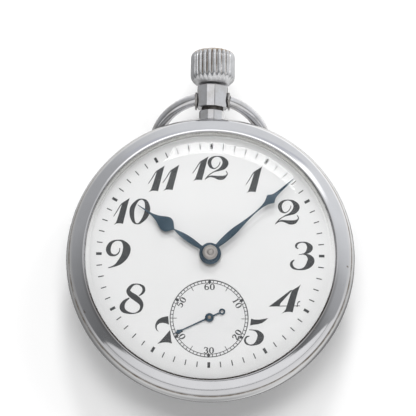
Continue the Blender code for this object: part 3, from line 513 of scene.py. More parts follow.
crystal_profile = (
    [(0.01, 11.92)] + spline([(4.0, 11.90), (8.0, 11.80), (16.0, 11.05), (19.2, 10.17), (20.6, 9.42), (21.13, 8.65), (21.18, 7.9)], 5)
    + [(21.2, 7.72), (21.71, 7.72)] + spline([(21.72, 7.9), (21.71, 8.4), (21.54, 9.1), (20.9, 9.91), (19.2, 10.81), (16.0, 11.72), (8.0, 12.46), (4.0, 12.57)], 5) + [(0.01, 12.6)])
crystal = make("crystal_dome", lathe(crystal_profile, n=192), "crystal", "bezel_and_crystal", 40)
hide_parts("crystal")


# ---- pendant: a round neck and a faceted block with a groove between them, bored along the stem
def pendant_bm(facets, stations, bore):
    """stations: (scale, y) along the block; a bored prism."""
    def ring(k, y, bored=0.0):
        pts = []
        n = len(facets)
        for i, (x, z) in enumerate(facets):
            for j, share in ((i - 1, 0.05), ((i + 1) % n, 0.05)):       # a narrow chamfer on each edge
                px, pz = x + (facets[j][0] - x) * share, z + (facets[j][1] - z) * share
                if bored:
                    a = atan2(pz, px)
                    pts.append((bored * cos(a), y, STEM_Z + bored * sin(a)))
                else:
                    pts.append((px * k, y, STEM_Z + pz * k))
        return pts
    y0, y1 = stations[0][1], stations[-1][1]
    return rings([ring(k, y) for k, y in stations] + [ring(1, y1, bore), ring(1, y0, bore)], loop=True)


BLOCK = [(0.34, 2.48), (0.39, 2.36), (0.50, 2.41), (2.46, 1.30), (2.63, 0.75), (2.70, 0.0), (2.30, -1.36), (0.79, -2.47), (-0.79, -2.47), (-2.40, -1.36), (-2.70, 0.0), (-2.64, 0.80), (-2.50, 1.40), (-1.03, 2.47)]
NECK = [(0.24, 2.14), (0.28, 2.05), (0.38, 2.09), (1.66, 1.26), (2.12, 0.1), (1.7, -1.2), (0.6, -2.1), (-0.6, -2.1), (-1.9, -1.3), (-2.34, 0.0), (-2.12, 1.22), (-0.80, 2.13)]
pendant = make("pendant_block", pendant_bm(BLOCK, [(0.94, 26.95), (0.985, 26.99), (1.0, 27.09), (1.0, 30.72), (0.97, 30.88), (0.9, 30.95)], 1.25), "pendant", "case", 18)
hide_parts("pendant")
make("pendant_neck", pendant_bm(NECK, [(1.0, 24.60), (1.0, 26.28), (0.97, 26.37), (0.92, 26.42)], 1.3), "pendant", "case", 18)
# the groove ring's near-black colour is painted shade
make("pendant_groove", lathe_y([(1.3, 26.3), (1.93, 26.3), (1.93, 27.0), (1.3, 27.0)], n=64, loop=True), "painted_groove_shade", "case", 40)


# ---- bow
def bow_bm():
    f = radians(FOLD)
    down = Vector((0, -cos(f), -sin(f)))
    normal = Vector((0, sin(f), -cos(f)))
    lean = radians(2.4)
    across = Vector((1, 0, 0)) * cos(lean) + down * sin(lean)
    down = down * cos(lean) - Vector((1, 0, 0)) * sin(lean)
    a0 = radians(17.0)
    rs = []
    steps = 150
    for i in range(steps + 1):
        a = a0 + (2 * pi - 2 * a0) * i / steps
        ctr = Vector((0, BOW_Y, STEM_Z)) + across * (RING_R * sin(a)) + down * (RING_E - RING_R * cos(a))
        out = across * sin(a) + down * (-cos(a))
        rs.append([tuple(ctr + WIRE_R * (out * cos(2 * pi * k / 28) + normal * sin(2 * pi * k / 28))) for k in range(28)])
    return rings(rs)


bow = make("bow_ring", bow_bm(), "bow", "bow", 40)
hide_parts("bow")


def disc_x(profile, side, n=48, bm=None):
    """profile: (r, |x|), turned about the bow's pivot."""
    return rings([[(side * x, BOW_Y + r * cos(2 * pi * i / n), STEM_Z + r * sin(2 * pi * i / n)) for i in range(n)] for r, x in profile], bm=bm)


for side, tag in ((-1, "left"), (1, "right")):
    make("bow_boss_" + tag, disc_x([(0.5, 1.9), (0.5, 2.72), (1.50, 2.72), (1.58, 2.76), (1.58, 2.98), (1.50, 3.05), (0.7, 3.1)], side), "bow_boss", "bow", 35)

# ---- crown: rounded ribs that fade into a domed top
RIBS = 26


def crown_bm():
    n = RIBS * 10

    def ring(r, y, depth):
        pts = []
        for i in range(n):
            a = 2 * pi * i / n
            t = (RIBS * a / (2 * pi) + 0.334) % 1.0
            d = depth * (abs(2 * t - 1) ** 2.2)       # broad round rib, narrow groove
            rr = r - d
            pts.append((rr * cos(a), y, STEM_Z + rr * sin(a)))
        return pts
    prof = [(1.0, 34.6, 0), (1.0, 31.24, 0), (2.6, 31.22, 0), (2.86, 31.26, 0.0), (3.12, 31.42, 0.02), (3.42, 31.7, 0.08), (3.68, 32.02, 0.18), (3.84, 32.34, 0.29), (3.91, 32.66, 0.38), (3.93, 33.0, 0.45),
            (3.93, 35.9, 0.47), (3.92, 36.26, 0.46), (3.81, 36.64, 0.40), (3.56, 36.96, 0.29), (3.16, 37.2, 0.2), (2.65, 37.36, 0.07), (1.8, 37.46, 0.0), (0.6, 37.5, 0.0)]
    return rings([ring(*p) for p in prof])


crown = make("crown_shell", crown_bm(), "crown", "stem_and_crown", 30)
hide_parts("crown")

# ================================================================ dial


def dial_mesh():
    bm = bmesh.new()
    prism(circle(21.72, 192), [circle(1.3, 48), circle(6.85, 128, SUB)], 7.3, DIAL_Z, bm, 0)
    prism(circle(6.852, 128, SUB), [circle(0.45, 32, FOURTH)], 7.32, SUB_Z, bm, 1)
    return bm


dial = make("dial_plate", dial_mesh(), "dial", "case", 30, mats=["subdial"])
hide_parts("dial")
for i, a in enumerate((62, 205), 1):
    make("dial_foot_%d" % i, prism(circle(0.5, 24, (19.3 * cos(radians(a)), 19.3 * sin(radians(a)))), [], 5.9, 7.35), "brass", "case", 30)


def polar(clock, r, c=(0, 0)):
    a = radians(90 - clock)
    return (c[0] + r * cos(a), c[1] + r * sin(a))


def bar(bm, clock, r0, r1, w, z0, z1, c=(0, 0), w2=None):
    a = radians(90 - clock)
    ux, uy = cos(a), sin(a)
    w2 = w if w2 is None else w2
    pts = [(c[0] + ux * r - uy * s, c[1] + uy * r + ux * s) for r, s in ((r0, -w / 2), (r1, -w2 / 2), (r1, w2 / 2), (r0, w / 2))]
    prism(pts, [], z0, z1, bm)


INK_Z = DIAL_Z + 0.012
ticks = bmesh.new()
for k in range(60):
    if k % 5 == 0:
        bar(ticks, 6 * k, 18.86, 19.84, 0.47, DIAL_Z - 0.02, INK_Z)
    else:
        bar(ticks, 6 * k, 18.86, 19.84, 0.18, DIAL_Z - 0.02, INK_Z)
make("minute_track", ticks, "ink", "case", 0)

# ---- the numbers: each is drawn with a broad pen, as strokes with a width along a path
G = 0.1737            # mm for one unit of the drawings below


def stroke(bm, pts, place, z, per=7):
    """pts: (x, y, width). A ribbon whose width changes along its path."""
    s = spline(pts, per)
    left, right = [], []
    for i, (x, y, w) in enumerate(s):
        x0, y0, _ = s[max(i - 1, 0)]
        x1, y1, _ = s[min(i + 1, len(s) - 1)]
        dx, dy = x1 - x0, y1 - y0
        d = hypot(dx, dy) or 1.0
        nx, ny = -dy / d, dx / d
        left.append(place(x + nx * w / 2, y + ny * w / 2))
        right.append(place(x - nx * w / 2, y - ny * w / 2))
    vs = []
    for (ax, ay), (bx, by) in zip(left, right):
        vs.append([bm.verts.new((ax, ay, z)), bm.verts.new((bx, by, z)), bm.verts.new((bx, by, z - 0.03)), bm.verts.new((ax, ay, z - 0.03))])
    for p, q in zip(vs, vs[1:]):
        for i in range(4):
            j = (i + 1) % 4
            bm.faces.new((p[i], p[j], q[j], q[i]))
    bm.faces.new(vs[0][::-1])
    bm.faces.new(vs[-1])


def shape(bm, pts, place, z):
    prism([place(x, y) for x, y in pts], [], z - 0.03, z, bm)


ONE = {"shapes": [[(19.6, 2.8), (18.4, 6.5), (17.2, 11.5), (15.6, 18.5), (13.9, 25.5), (13.2, 29.0), (10.6, 28.5), (8.2, 28.45), (6.0, 28.9), (3.7, 30.1),
                   (5.4, 28.2), (6.3, 26.6), (8.6, 19.5), (10.6, 12.5), (11.5, 9.6), (11.4, 8.5), (12.0, 7.8), (14.6, 6.1), (17.2, 4.4)]],
       "strokes": [[(11.9, 8.1, 0.9), (9.6, 11.2, 1.0), (6.6, 16.4, 0.9), (3.2, 21.6, 0.7)]]}
TWO = {"strokes": [[(19.1, 8.6, 0.8), (18.3, 11.4, 0.9), (16.3, 14.2, 0.9), (13.0, 15.8, 1.2), (9.6, 14.0, 2.9), (7.9, 9.9, 3.9), (9.0, 6.4, 3.2), (12.0, 3.9, 1.8), (16.6, 3.0, 1.0),
                    (21.2, 4.6, 3.0), (24.6, 9.4, 6.3), (22.7, 14.0, 5.4), (18.2, 17.0, 2.6), (12.6, 19.3, 1.1), (7.4, 22.8, 1.0), (3.5, 27.4, 0.9)],
                   [(3.5, 27.2, 0.8), (6.6, 24.9, 1.2), (9.8, 24.0, 1.8), (13.7, 24.5, 2.6), (18.4, 25.5, 4.3), (22.8, 25.0, 3.7), (25.8, 22.8, 1.6), (26.7, 20.6, 1.0), (25.2, 18.2, 0.8)]]}
THREE = {"strokes": [[(11.6, 9.8, 0.8), (9.6, 8.6, 1.5), (9.4, 6.4, 2.2), (11.4, 4.2, 1.7), (15.8, 3.2, 1.0), (19.8, 4.2, 2.4), (23.1, 8.3, 5.9), (21.4, 12.2, 4.4), (17.6, 14.6, 1.2), (12.2, 15.7, 0.6)],
                     [(15.2, 14.9, 0.8), (19.2, 15.7, 1.6), (22.4, 17.6, 4.4), (24.3, 21.5, 7.2), (22.0, 26.2, 6.0), (17.6, 29.6, 2.8), (12.1, 30.6, 1.3), (7.2, 29.3, 2.2), (4.8, 26.3, 3.0),
                      (5.2, 23.3, 2.2), (7.7, 21.0, 0.8)]]}
FOUR = {"shapes": [[(35.0, 2.2), (33.6, 5.0), (32.3, 8.6), (30.2, 16.5), (28.2, 24.8), (27.0, 30.2), (24.4, 29.7), (21.6, 29.7), (18.8, 30.3), (15.8, 31.7), (18.4, 29.4), (19.9, 27.4),
                    (22.6, 18.6), (25.0, 11.2), (26.2, 8.2), (29.6, 6.2), (32.4, 4.4)],
                   [(3.2, 24.7), (25.0, 7.9), (26.4, 8.3), (20.2, 15.2), (14.9, 21.2), (13.6, 24.4)]],
        "strokes": [[(12.0, 24.1, 0.9), (21.0, 23.9, 0.7), (34.0, 23.6, 0.7)], [(34.3, 19.2, 1.2), (32.4, 20.0, 1.0), (31.7, 22.2, 0.9), (31.2, 24.7, 0.9)]]}
FIVE = {"shapes": [[(9.8, 3.8), (13.4, 4.7), (18.4, 4.7), (22.8, 3.9), (26.9, 3.0), (24.2, 5.6), (20.6, 8.1), (16.6, 9.3), (12.6, 9.8), (8.9, 10.6)]],
        "strokes": [[(7.9, 14.9, 0.7), (12.6, 15.2, 1.1), (16.6, 16.8, 3.2), (19.5, 21.2, 6.6), (17.6, 26.2, 5.6), (13.0, 29.4, 2.0), (8.6, 29.9, 1.2), (4.9, 27.9, 1.9), (4.0, 24.6, 1.8),
                     (5.7, 21.9, 1.5), (8.4, 21.2, 0.7)]]}
SEVEN = {"shapes": [[(17.9, 3.2), (18.9, 11.7), (16.0, 10.5), (12.6, 9.9), (9.4, 10.4), (7.2, 12.3), (6.7, 14.6), (7.1, 16.7), (8.9, 18.9), (6.6, 17.5), (5.4, 15.3), (5.2, 12.2), (6.2, 9.0),
                     (8.4, 6.4), (11.6, 4.6), (15.0, 3.7)],
                    [(20.1, 16.8), (20.5, 19.6), (21.0, 23.4), (21.4, 27.4), (22.3, 30.4), (18.6, 29.3), (14.6, 29.2), (11.4, 29.8), (7.3, 31.0), (10.4, 28.2), (13.2, 25.0), (16.6, 21.0)]], "strokes": []}
EIGHT = {"strokes": [[(24.0, 3.9, 1.6), (20.0, 3.2, 1.1), (15.6, 4.8, 2.6), (12.3, 9.6, 3.9), (14.3, 13.4, 5.2), (19.4, 16.9, 6.0), (24.2, 21.0, 5.0), (25.8, 25.2, 3.3), (24.0, 29.8, 2.2),
                      (18.6, 32.4, 1.1), (12.2, 31.8, 2.4), (7.6, 29.4, 4.6), (6.4, 25.4, 5.0), (8.6, 20.8, 3.2), (13.4, 17.2, 1.2)],
                     [(22.8, 14.9, 0.9), (25.8, 12.8, 2.0), (27.7, 9.4, 3.0), (26.8, 5.9, 2.6), (23.6, 3.8, 1.5)]]}
NINE = {"strokes": [[(17.1, 11.2, 0.8), (16.7, 14.6, 1.1), (14.6, 17.5, 1.4), (11.2, 18.6, 2.0), (7.4, 17.2, 3.6), (5.6, 12.9, 4.8), (7.2, 7.6, 3.8), (10.8, 4.4, 2.0), (15.4, 3.4, 1.2), (20.2, 4.8, 3.0),
                     (24.0, 11.0, 7.7), (22.4, 18.6, 7.2), (17.4, 25.2, 5.0), (12.2, 29.0, 2.0), (5.8, 31.2, 0.8)]]}
ZERO = {"strokes": [[(30.5, 3.3, 1.0), (26.2, 4.9, 2.2), (21.4, 11.6, 4.7), (20.6, 19.0, 4.7), (22.4, 25.8, 3.0), (25.6, 28.4, 1.1), (29.4, 26.9, 2.4), (34.4, 20.4, 5.0), (36.2, 12.6, 5.4),
                     (34.4, 5.8, 3.2), (30.5, 3.3, 1.0)]]}


def shifted(g, dx, dy, kx=1.0, ky=1.0):
    return {"shapes": [[(x * kx + dx, y * ky + dy) for x, y in s] for s in g.get("shapes", [])],
            "strokes": [[(x * kx + dx, y * ky + dy, w * kx) for x, y, w in s] for s in g.get("strokes", [])]}


def number(bm, glyphs, centre, half):
    """half: the half size of the drawing's box, in its units, y down."""
    z = [INK_Z]

    def place(x, y):
        return (centre[0] + (x - half[0]) * G, centre[1] - (y - half[1]) * G * 1.017)
    for g in glyphs:
        for s in g.get("shapes", []):
            shape(bm, s, place, z[0])
            z[0] += 0.0012
        for s in g.get("strokes", []):
            stroke(bm, s, place, z[0])
            z[0] += 0.0012


numbers = bmesh.new()
number(numbers, [shifted(ONE, -0.3, 0.9, 0.97, 0.93), shifted(TWO, 12.0, 0.5, 0.965, 0.97)], (-0.12, 15.35), (21, 16))
number(numbers, [ONE], (7.66, 13.52), (12.5, 16))
number(numbers, [shifted(ONE, -0.4, 0.2), shifted(ONE, 14.2, -0.7, 1.0, 0.985)], (-8.34, 13.54), (18, 16))
number(numbers, [TWO], (13.42, 7.59), (16, 16))
number(numbers, [THREE], (15.97, -0.01), (15.5, 17))
number(numbers, [FOUR], (13.18, -7.645), (20, 17))
number(numbers, [FIVE], (8.11, -13.40), (15, 16.5))
number(numbers, [SEVEN], (-7.64, -13.41), (15, 17.5))
number(numbers, [EIGHT], (-13.45, -7.825), (16, 17.5))
number(numbers, [NINE], (-15.92, 0.0), (16, 17))
number(numbers, [shifted(ONE, -0.9, -0.4, 0.97, 1.0), ZERO], (-13.67, 7.55), (21, 16))
make("dial_numbers", numbers, "ink", "case", 0)

# ---- small seconds track
SINK = SUB_Z + 0.012
track = bmesh.new()
for r, w in ((6.74, 0.14), (6.26, 0.11)):
    prism(circle(r + w / 2, 128, SUB), [circle(r - w / 2, 128, SUB)], SUB_Z - 0.01, SINK, track)
for k in range(60):
    bar(track, 6 * k, 6.26, 6.74, 0.12, SUB_Z - 0.01, SINK, SUB)
for k in range(12):
    if k % 2:
        bar(track, 30 * k, 5.58, 6.26, 0.11, SUB_Z - 0.01, SINK, SUB)
    else:
        a = radians(90 - 30 * k)
        ux, uy = cos(a), sin(a)
        prism([(SUB[0] + ux * r - uy * s, SUB[1] + uy * r + ux * s) for r, s in ((5.98, 0.0), (6.45, -0.30), (6.9, 0.0), (6.45, 0.30))], [], SUB_Z - 0.01, SINK + 0.002, track)
make("seconds_track", track, "ink", "case", 0)

# upright small figures, drawn in a box 6 wide and 9 high, y down
SMALL = {
    "0": [[(3.0, 0.4, 0.5), (1.2, 1.8, 1.0), (0.8, 4.5, 1.3), (1.2, 7.2, 1.0), (3.0, 8.6, 0.5), (4.8, 7.2, 1.0), (5.2, 4.5, 1.3), (4.8, 1.8, 1.0), (3.0, 0.4, 0.5)]],
    "1": [[(3.2, 0.3, 1.2), (3.2, 8.4, 1.2)], [(3.2, 0.5, 0.6), (1.4, 1.6, 0.5)], [(1.5, 8.6, 0.5), (4.9, 8.6, 0.5)]],
    "2": [[(1.0, 2.6, 1.1), (1.4, 1.0, 0.8), (3.2, 0.4, 0.7), (4.9, 1.8, 1.2), (4.4, 4.0, 1.2), (2.4, 6.2, 0.8), (0.8, 8.3, 0.6)], [(0.8, 8.3, 0.9), (5.2, 8.3, 0.9), (5.4, 6.9, 0.5)]],
    "3": [[(1.0, 2.0, 1.0), (1.6, 0.7, 0.7), (3.2, 0.4, 0.6), (4.8, 1.6, 1.2), (4.5, 3.4, 1.0), (2.6, 4.2, 0.5)], [(2.6, 4.2, 0.5), (4.8, 5.0, 1.1), (5.2, 6.8, 1.3), (4.0, 8.4, 0.8), (1.8, 8.4, 0.6), (0.8, 7.0, 1.0)]],
    "4": [[(4.2, 0.3, 1.2), (4.2, 8.4, 1.2)], [(4.0, 0.5, 0.5), (0.5, 6.0, 0.5)], [(0.4, 6.1, 0.5), (5.8, 6.1, 0.5)], [(2.9, 8.6, 0.5), (5.5, 8.6, 0.5)]],
    "5": [[(1.3, 0.7, 0.9), (5.0, 0.7, 0.9)], [(1.3, 0.6, 0.5), (1.1, 4.0, 0.5)], [(1.1, 4.0, 0.6), (3.2, 3.4, 0.7), (5.0, 4.6, 1.2), (5.1, 6.6, 1.3), (3.8, 8.4, 0.8), (1.8, 8.4, 0.6), (0.8, 7.2, 0.9)]],
    "6": [[(4.9, 1.4, 0.8), (3.4, 0.4, 0.6), (1.6, 1.8, 0.9), (0.8, 4.6, 1.3), (1.2, 7.4, 1.0), (3.0, 8.6, 0.6), (4.9, 7.4, 1.1), (5.1, 5.6, 1.1), (3.6, 4.0, 0.6), (1.6, 4.8, 0.6), (0.9, 5.6, 0.6)]],
}
small = bmesh.new()


def small_number(text, clock, turn, r=5.58, height=1.13):
    u = height / 9.0
    cx, cy = polar(clock, r, SUB)
    t = radians(-turn)
    for i, ch in enumerate(text):
        def place(x, y, i=i):
            lx = ((x - 3.0) * 1.08 + (i - (len(text) - 1) / 2) * 7.7) * u
            ly = (4.5 - y) * u
            return (cx + lx * cos(t) - ly * sin(t), cy + lx * sin(t) + ly * cos(t))
        z = SINK
        for s in SMALL[ch]:
            stroke(small, [(px, py, pw * 1.35 + 0.15) for px, py, pw in s], place, z, 5)
            z += 0.0012


for text, clock, turn in (("60", 0, 0), ("10", 60, 60), ("20", 120, -60), ("30", 180, 0), ("40", 240, 60), ("50", 300, -60)):
    small_number(text, clock, turn)
make("seconds_numbers", small, "ink", "case", 0)


# ================================================================ hands
def hand_outline(c, clock, half):
    a = radians(90 - clock)
    ax, ay = cos(a), sin(a)

    def put(u, v):
        return (c[0] + ax * u - ay * v, c[1] + ay * u + ax * v)
    return [put(u, -v) for u, v in half] + [put(u, v) for u, v in half[::-1] if v > 1e-6]


def hand(name, c, clock, half, z0, z1, body, node, holes=(), crown_h=0.05, per=5):
    """A flat hand whose edges are softly rounded by a bevel modifier."""
    tail = [p for p in half]
    outline = hand_outline(c, clock, tail)
    bm = prism(outline, holes, z0, z1)
    ob = make(name, bm, "blue", body, 0)
    bv = ob.modifiers.new("edge", "BEVEL")
    bv.width = 0.00004
    bv.segments = 2
    bv.limit_method = "ANGLE"
    bv.angle_limit = radians(50)
    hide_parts(node)
    return ob


def boss(r, a0, a1, n):
    return [(r * cos(radians(a0 + (a1 - a0) * i / n)), r * sin(radians(a0 + (a1 - a0) * i / n))) for i in range(n + 1)]


hour_half = [(-1.89, 0.0)] + boss(1.89, 172, 14, 22) + spline([(1.95, 0.36), (2.4, 0.37), (3.0, 0.45), (4.0, 0.50), (5.0, 0.495), (6.0, 0.40), (7.0, 0.21), (7.6, 0.09)], 4) + \
    spline([(7.75, 0.22), (8.0, 0.53), (8.5, 1.08), (9.0, 1.31), (9.5, 1.30), (10.0, 1.11), (10.5, 0.85), (11.0, 0.58), (12.0, 0.27), (13.0, 0.14), (14.0, 0.10), (15.3, 0.04)], 4)
minute_half = [(-1.7, 0.0)] + boss(1.7, 172, 16, 20) + spline([(1.75, 0.36), (2.0, 0.38), (3.0, 0.51), (4.0, 0.57), (5.0, 0.59), (6.0, 0.54), (7.0, 0.41), (8.0, 0.29), (9.0, 0.19), (10.0, 0.135), (11.0, 0.13), (12.0, 0.175), (12.6, 0.26), (13.2, 0.42)], 4) + \
    [(13.75, 0.68), (14.12, 0.92), (14.2, 0.92)] + spline([(14.55, 0.66), (15.0, 0.42), (15.6, 0.31), (16.4, 0.24), (17.2, 0.20), (18.2, 0.15), (19.6, 0.05)], 4)
mo = (-0.10 * cos(radians(MINUTE_A)), 0.10 * sin(radians(MINUTE_A)))      # the minute leaf sits a hair to one side
hand("hour_hand_leaf", (0, 0), HOUR_A, hour_half, 8.6, 8.78, "hour", "hour_hand", [circle(1.2, 40)])
hand("minute_hand_leaf", mo, MINUTE_A, minute_half, 9.4, 9.58, "center", "minute_hand", [circle(0.95, 40)])
RING_U = 2.42
sec_ring = [(u - RING_U, v) for u, v in boss(0.54, 172, 14, 12)]
seconds_half = [(-2.96, 0.0)] + sec_ring + [(-1.86, 0.11), (-0.85, 0.11)] + boss(0.76, 168, 12, 12) + [(1.0, 0.115), (3.0, 0.105), (5.0, 0.095)] + [(5.3, 0.15), (5.65, 0.24), (5.93, 0.37), (6.0, 0.37), (6.15, 0.2), (6.4, 0.09), (6.85, 0.03)]
ring_c = (FOURTH[0] - RING_U * cos(radians(90 - SECOND_A)), FOURTH[1] - RING_U * sin(radians(90 - SECOND_A)))
hand("seconds_hand_leaf", FOURTH, SECOND_A, seconds_half, 7.72, 7.82, "fourth", "seconds_hand", [circle(0.26, 24, FOURTH), circle(0.27, 24, ring_c)])
# collets and centres
make("hour_collet", lathe([(1.17, 8.5), (1.84, 8.5), (1.87, 8.62), (1.84, 8.86), (1.66, 8.96), (1.4, 9.02), (1.17, 9.02)], n=96, loop=True), "blue", "hour", 35)
make("minute_collet", lathe([(0.8, 9.3), (1.55, 9.3)] + spline([(1.6, 9.42), (1.58, 9.6), (1.46, 9.72), (1.34, 9.76)], 4) + [(0.8, 9.76)], n=96, loop=True), "blue", "center", 35)
make("hub_cap", lathe([(0.8, 9.78), (1.24, 9.78)] + spline([(1.29, 9.9), (1.29, 10.04), (1.22, 10.12), (1.05, 10.16)], 3) + spline([(0.95, 10.165), (0.8, 10.17), (0.66, 10.16), (0.56, 10.12), (0.50, 10.13), (0.44, 10.20)], 2)
                    + spline([(0.36, 10.24), (0.18, 10.27), (0.01, 10.28)], 3) + [(0.01, 10.17), (0.47, 10.17), (0.47, 9.98), (0.8, 9.98)], n=96, loop=True), "hub", "center", 35)
make("seconds_collet", lathe([(0.3, 7.70), (0.72, 7.70)] + spline([(0.75, 7.80), (0.73, 7.95), (0.62, 8.02)], 4) + [(0.42, 8.02), (0.3, 7.98)], FOURTH, n=64, loop=True), "blue", "fourth", 35)
make("seconds_pin", lathe([(0.01, 7.7), (0.3, 7.7), (0.3, 7.96)] + spline([(0.29, 7.99), (0.18, 8.02), (0.01, 8.03)], 3), FOURTH, n=48), "seconds_pin", "fourth", 35)
make("counterweight_ring", lathe([(0.27, 7.72), (0.53, 7.72), (0.545, 7.80), (0.50, 7.88), (0.34, 7.88), (0.27, 7.80)], ring_c, n=48, loop=True), "blue", "fourth", 35)

# ================================================================ camera, light, floor
P0 = Vector((0, 0, DIAL_Z)) * MM
TH, PS, ROLL, DIST = radians(11.15), radians(0.606), radians(0.77), 0.480
c = Vector((sin(PS), -sin(TH) * cos(PS), cos(TH) * cos(PS)))
r = Vector((0, 1, 0)).cross(c).normalized()
u = c.cross(r)
right = r * cos(ROLL) + u * sin(ROLL)
up = -r * sin(ROLL) + u * cos(ROLL)
cam_data = bpy.data.cameras.new("camera")
cam = bpy.data.objects.new("camera", cam_data)
SC.collection.objects.link(cam)
SC.camera = cam
cam_data.sensor_width = 36.0
cam_data.lens = 5.758 * 480 * 36.0 / 416
cam_data.shift_x = -(210.22 - 208) / 416
cam_data.shift_y = (254.86 - 208) / 416
cam_data.clip_start, cam_data.clip_end = 0.01, 20
m = Matrix((right, up, c)).transposed().to_4x4()
m.translation = P0 + c * DIST
cam.matrix_world = m

floor_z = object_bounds()[0].z


def plane(name, size, mat, loc=(0, 0, 0), rot=(0, 0, 0)):
    me = bpy.data.meshes.new(name)
    h = size / 2
    me.from_pydata([(-h, -h, 0), (h, -h, 0), (h, h, 0), (-h, h, 0)], [], [(0, 1, 2, 3)])
    ob = bpy.data.objects.new(name, me)
    ob.location = loc
    ob.rotation_euler = rot
    SC.collection.objects.link(ob)
    me.materials.append(mat)
    ob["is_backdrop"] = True
    return ob


fm = Mat("floor_finish")
fm.link(fm.ramp(fm.noise(12.0, 2.0), [(0.2, (0.90, 0.90, 0.90)), (0.8, (0.93, 0.93, 0.93))]), fm.b.inputs["Base Color"])
fm.b.inputs["Roughness"].default_value = 0.7
fm.b.inputs["Specular IOR Level"].default_value = 0.1
floor = plane("floor", 3.0, fm.m, (0, 0, floor_z - 0.0002))
floor.visible_glossy = False


def area(name, loc, target, size, power, size_y=None, cam_visible=False):
    d = bpy.data.lights.new(name, "AREA")
    d.energy = power
    d.size = size
    if size_y:
        d.shape = "RECTANGLE"
        d.size_y = size_y
    ob = bpy.data.objects.new(name, d)
    ob.location = loc
    ob.rotation_euler = (Vector(target) - Vector(loc)).to_track_quat("-Z", "Y").to_euler()
    SC.collection.objects.link(ob)
    ob.visible_glossy = False
    return ob


area("key", (0.04, 0.50, 0.58), (0, 0, 0), 0.13, 1.6)
area("right", (0.40, 0.34, 0.55), (0, 0, 0), 0.24, 0.9)
area("left", (-0.40, 0.34, 0.55), (0, 0, 0), 0.24, 0.5)
area("high", (0.01, 0.125, 0.585), (0, 0, 0), 0.22, 1.45)

# a long lamp past 12 o'clock that only the crystal shows, as a soft white patch near its edge
glint = area("crystal_glint", (0.078, 0.449, 0.390), (0, 0, 0.009), 0.50, 2.6, 0.18)
glint.visible_glossy = True
glint.visible_diffuse = False
glint.visible_camera = False
only = bpy.data.collections.new("crystal_only")
only.objects.link(crystal)
glint.light_linking.receiver_collection = only

# the studio as the metal sees it: tone by compass direction low down, light overhead
w = bpy.data.worlds.new("studio")
SC.world = w
w.use_nodes = True
wt = w.node_tree
wn = wt.nodes
for n in list(wn):
    wn.remove(n)


def wnew(kind, **p):
    n = wn.new(kind)
    for k2, v in p.items():
        setattr(n, k2, v)
    return n


def wmath(op, a, b=0.0, clamp=False):
    n = wnew("ShaderNodeMath", operation=op, use_clamp=clamp)
    for i, v in enumerate((a, b)):
        if isinstance(v, (int, float)):
            n.inputs[i].default_value = v
        else:
            wt.links.new(v, n.inputs[i])
    return n.outputs[0]


def wramp(fac, stops):
    n = wnew("ShaderNodeValToRGB")
    e = n.color_ramp.elements
    while len(e) > 1:
        e.remove(e[-1])
    for i, (p, v) in enumerate(stops):
        col = (v, v, v * 1.02, 1) if isinstance(v, (int, float)) else (*v, 1)
        if i == 0:
            e[0].position, e[0].color = p, col
        else:
            x = e.new(p)
            x.color = col
    wt.links.new(fac, n.inputs["Fac"])
    return n.outputs["Color"]


def lin(v):
    """An 8-bit display tone as scene light."""
    v = v / 255.0
    return v / 12.92 if v <= 0.04045 else ((v + 0.055) / 1.055) ** 2.4


tc = wnew("ShaderNodeTexCoord").outputs["Generated"]
sep = wnew("ShaderNodeSeparateXYZ")
wt.links.new(tc, sep.inputs[0])
# the level directions are read round the axis that a flat face reflects, tipped 11 degrees to 12 o'clock
ct, st = cos(radians(11.15)), sin(radians(11.15))
dx = sep.outputs["X"]
dy = wmath("SUBTRACT", wmath("MULTIPLY", sep.outputs["Y"], ct), wmath("MULTIPLY", sep.outputs["Z"], st))
dz = wmath("ADD", wmath("MULTIPLY", sep.outputs["Y"], st), wmath("MULTIPLY", sep.outputs["Z"], ct))
ang = wmath("DIVIDE", wmath("ARCTAN2", dx, dy), 2 * pi)
ang = wmath("FRACT", wmath("ADD", ang, 1.0))
TONES = [(0, 206), (20, 206), (50, 211), (70, 210), (90, 184), (100, 160), (110, 150), (122, 122), (135, 98), (180, 92), (215, 92), (228, 98), (238, 100), (250, 112), (262, 124), (270, 133),
         (285, 150), (300, 156), (315, 160), (330, 188), (345, 203), (360, 206)]
PALE = [(0, 212), (110, 212), (125, 214), (140, 220), (160, 217), (180, 215), (200, 213), (216, 206), (230, 192), (245, 180), (360, 212)]
UNDER = [(0, 240), (20, 246), (50, 236), (75, 200), (90, 190), (110, 210), (125, 214), (140, 210), (160, 206), (180, 203), (200, 205), (220, 204), (235, 190), (255, 150), (270, 140), (290, 158),
         (310, 166), (330, 205), (350, 226), (360, 240)]
DEEP = [(0, 112), (95, 112), (112, 185), (125, 215), (140, 200), (160, 172), (180, 158), (200, 164), (220, 176), (238, 168), (255, 124), (265, 112), (360, 112)]


def turn(tones, blue=1.02):
    return wramp(ang, [(d / 360.0, (lin(t) / 1.32 * (0.985 if blue > 1.01 else 1.0), lin(t) / 1.32, lin(t) / 1.32 * blue)) for d, t in tones])


def wmix(fac, a, b):
    n = wnew("ShaderNodeMix", data_type="RGBA")
    wt.links.new(fac, n.inputs["Factor"])
    for sock, v in ((n.inputs["A"], a), (n.inputs["B"], b)):
        if isinstance(v, tuple):
            sock.default_value = (*v, 1)
        else:
            wt.links.new(v, sock)
    return n.outputs["Result"]


# the pale table edge: two straight edges that meet under 6 o'clock
right_edge = wmath("ADD", wmath("ADD", wmath("MULTIPLY", dx, 0.3156), dy), wmath("MULTIPLY", dz, 0.235))
left_edge = wmath("ADD", wmath("ADD", wmath("MULTIPLY", dx, -0.643), dy), wmath("MULTIPLY", dz, 0.128))
shade = wramp(wmath("ADD", wmath("MAXIMUM", right_edge, left_edge), 0.5), [(0.0, 1.0), (0.485, 1.0), (0.51, 0.0), (1.0, 0.0)])
low = wmix(shade, turn(TONES, 1.02), turn(PALE, 0.985))
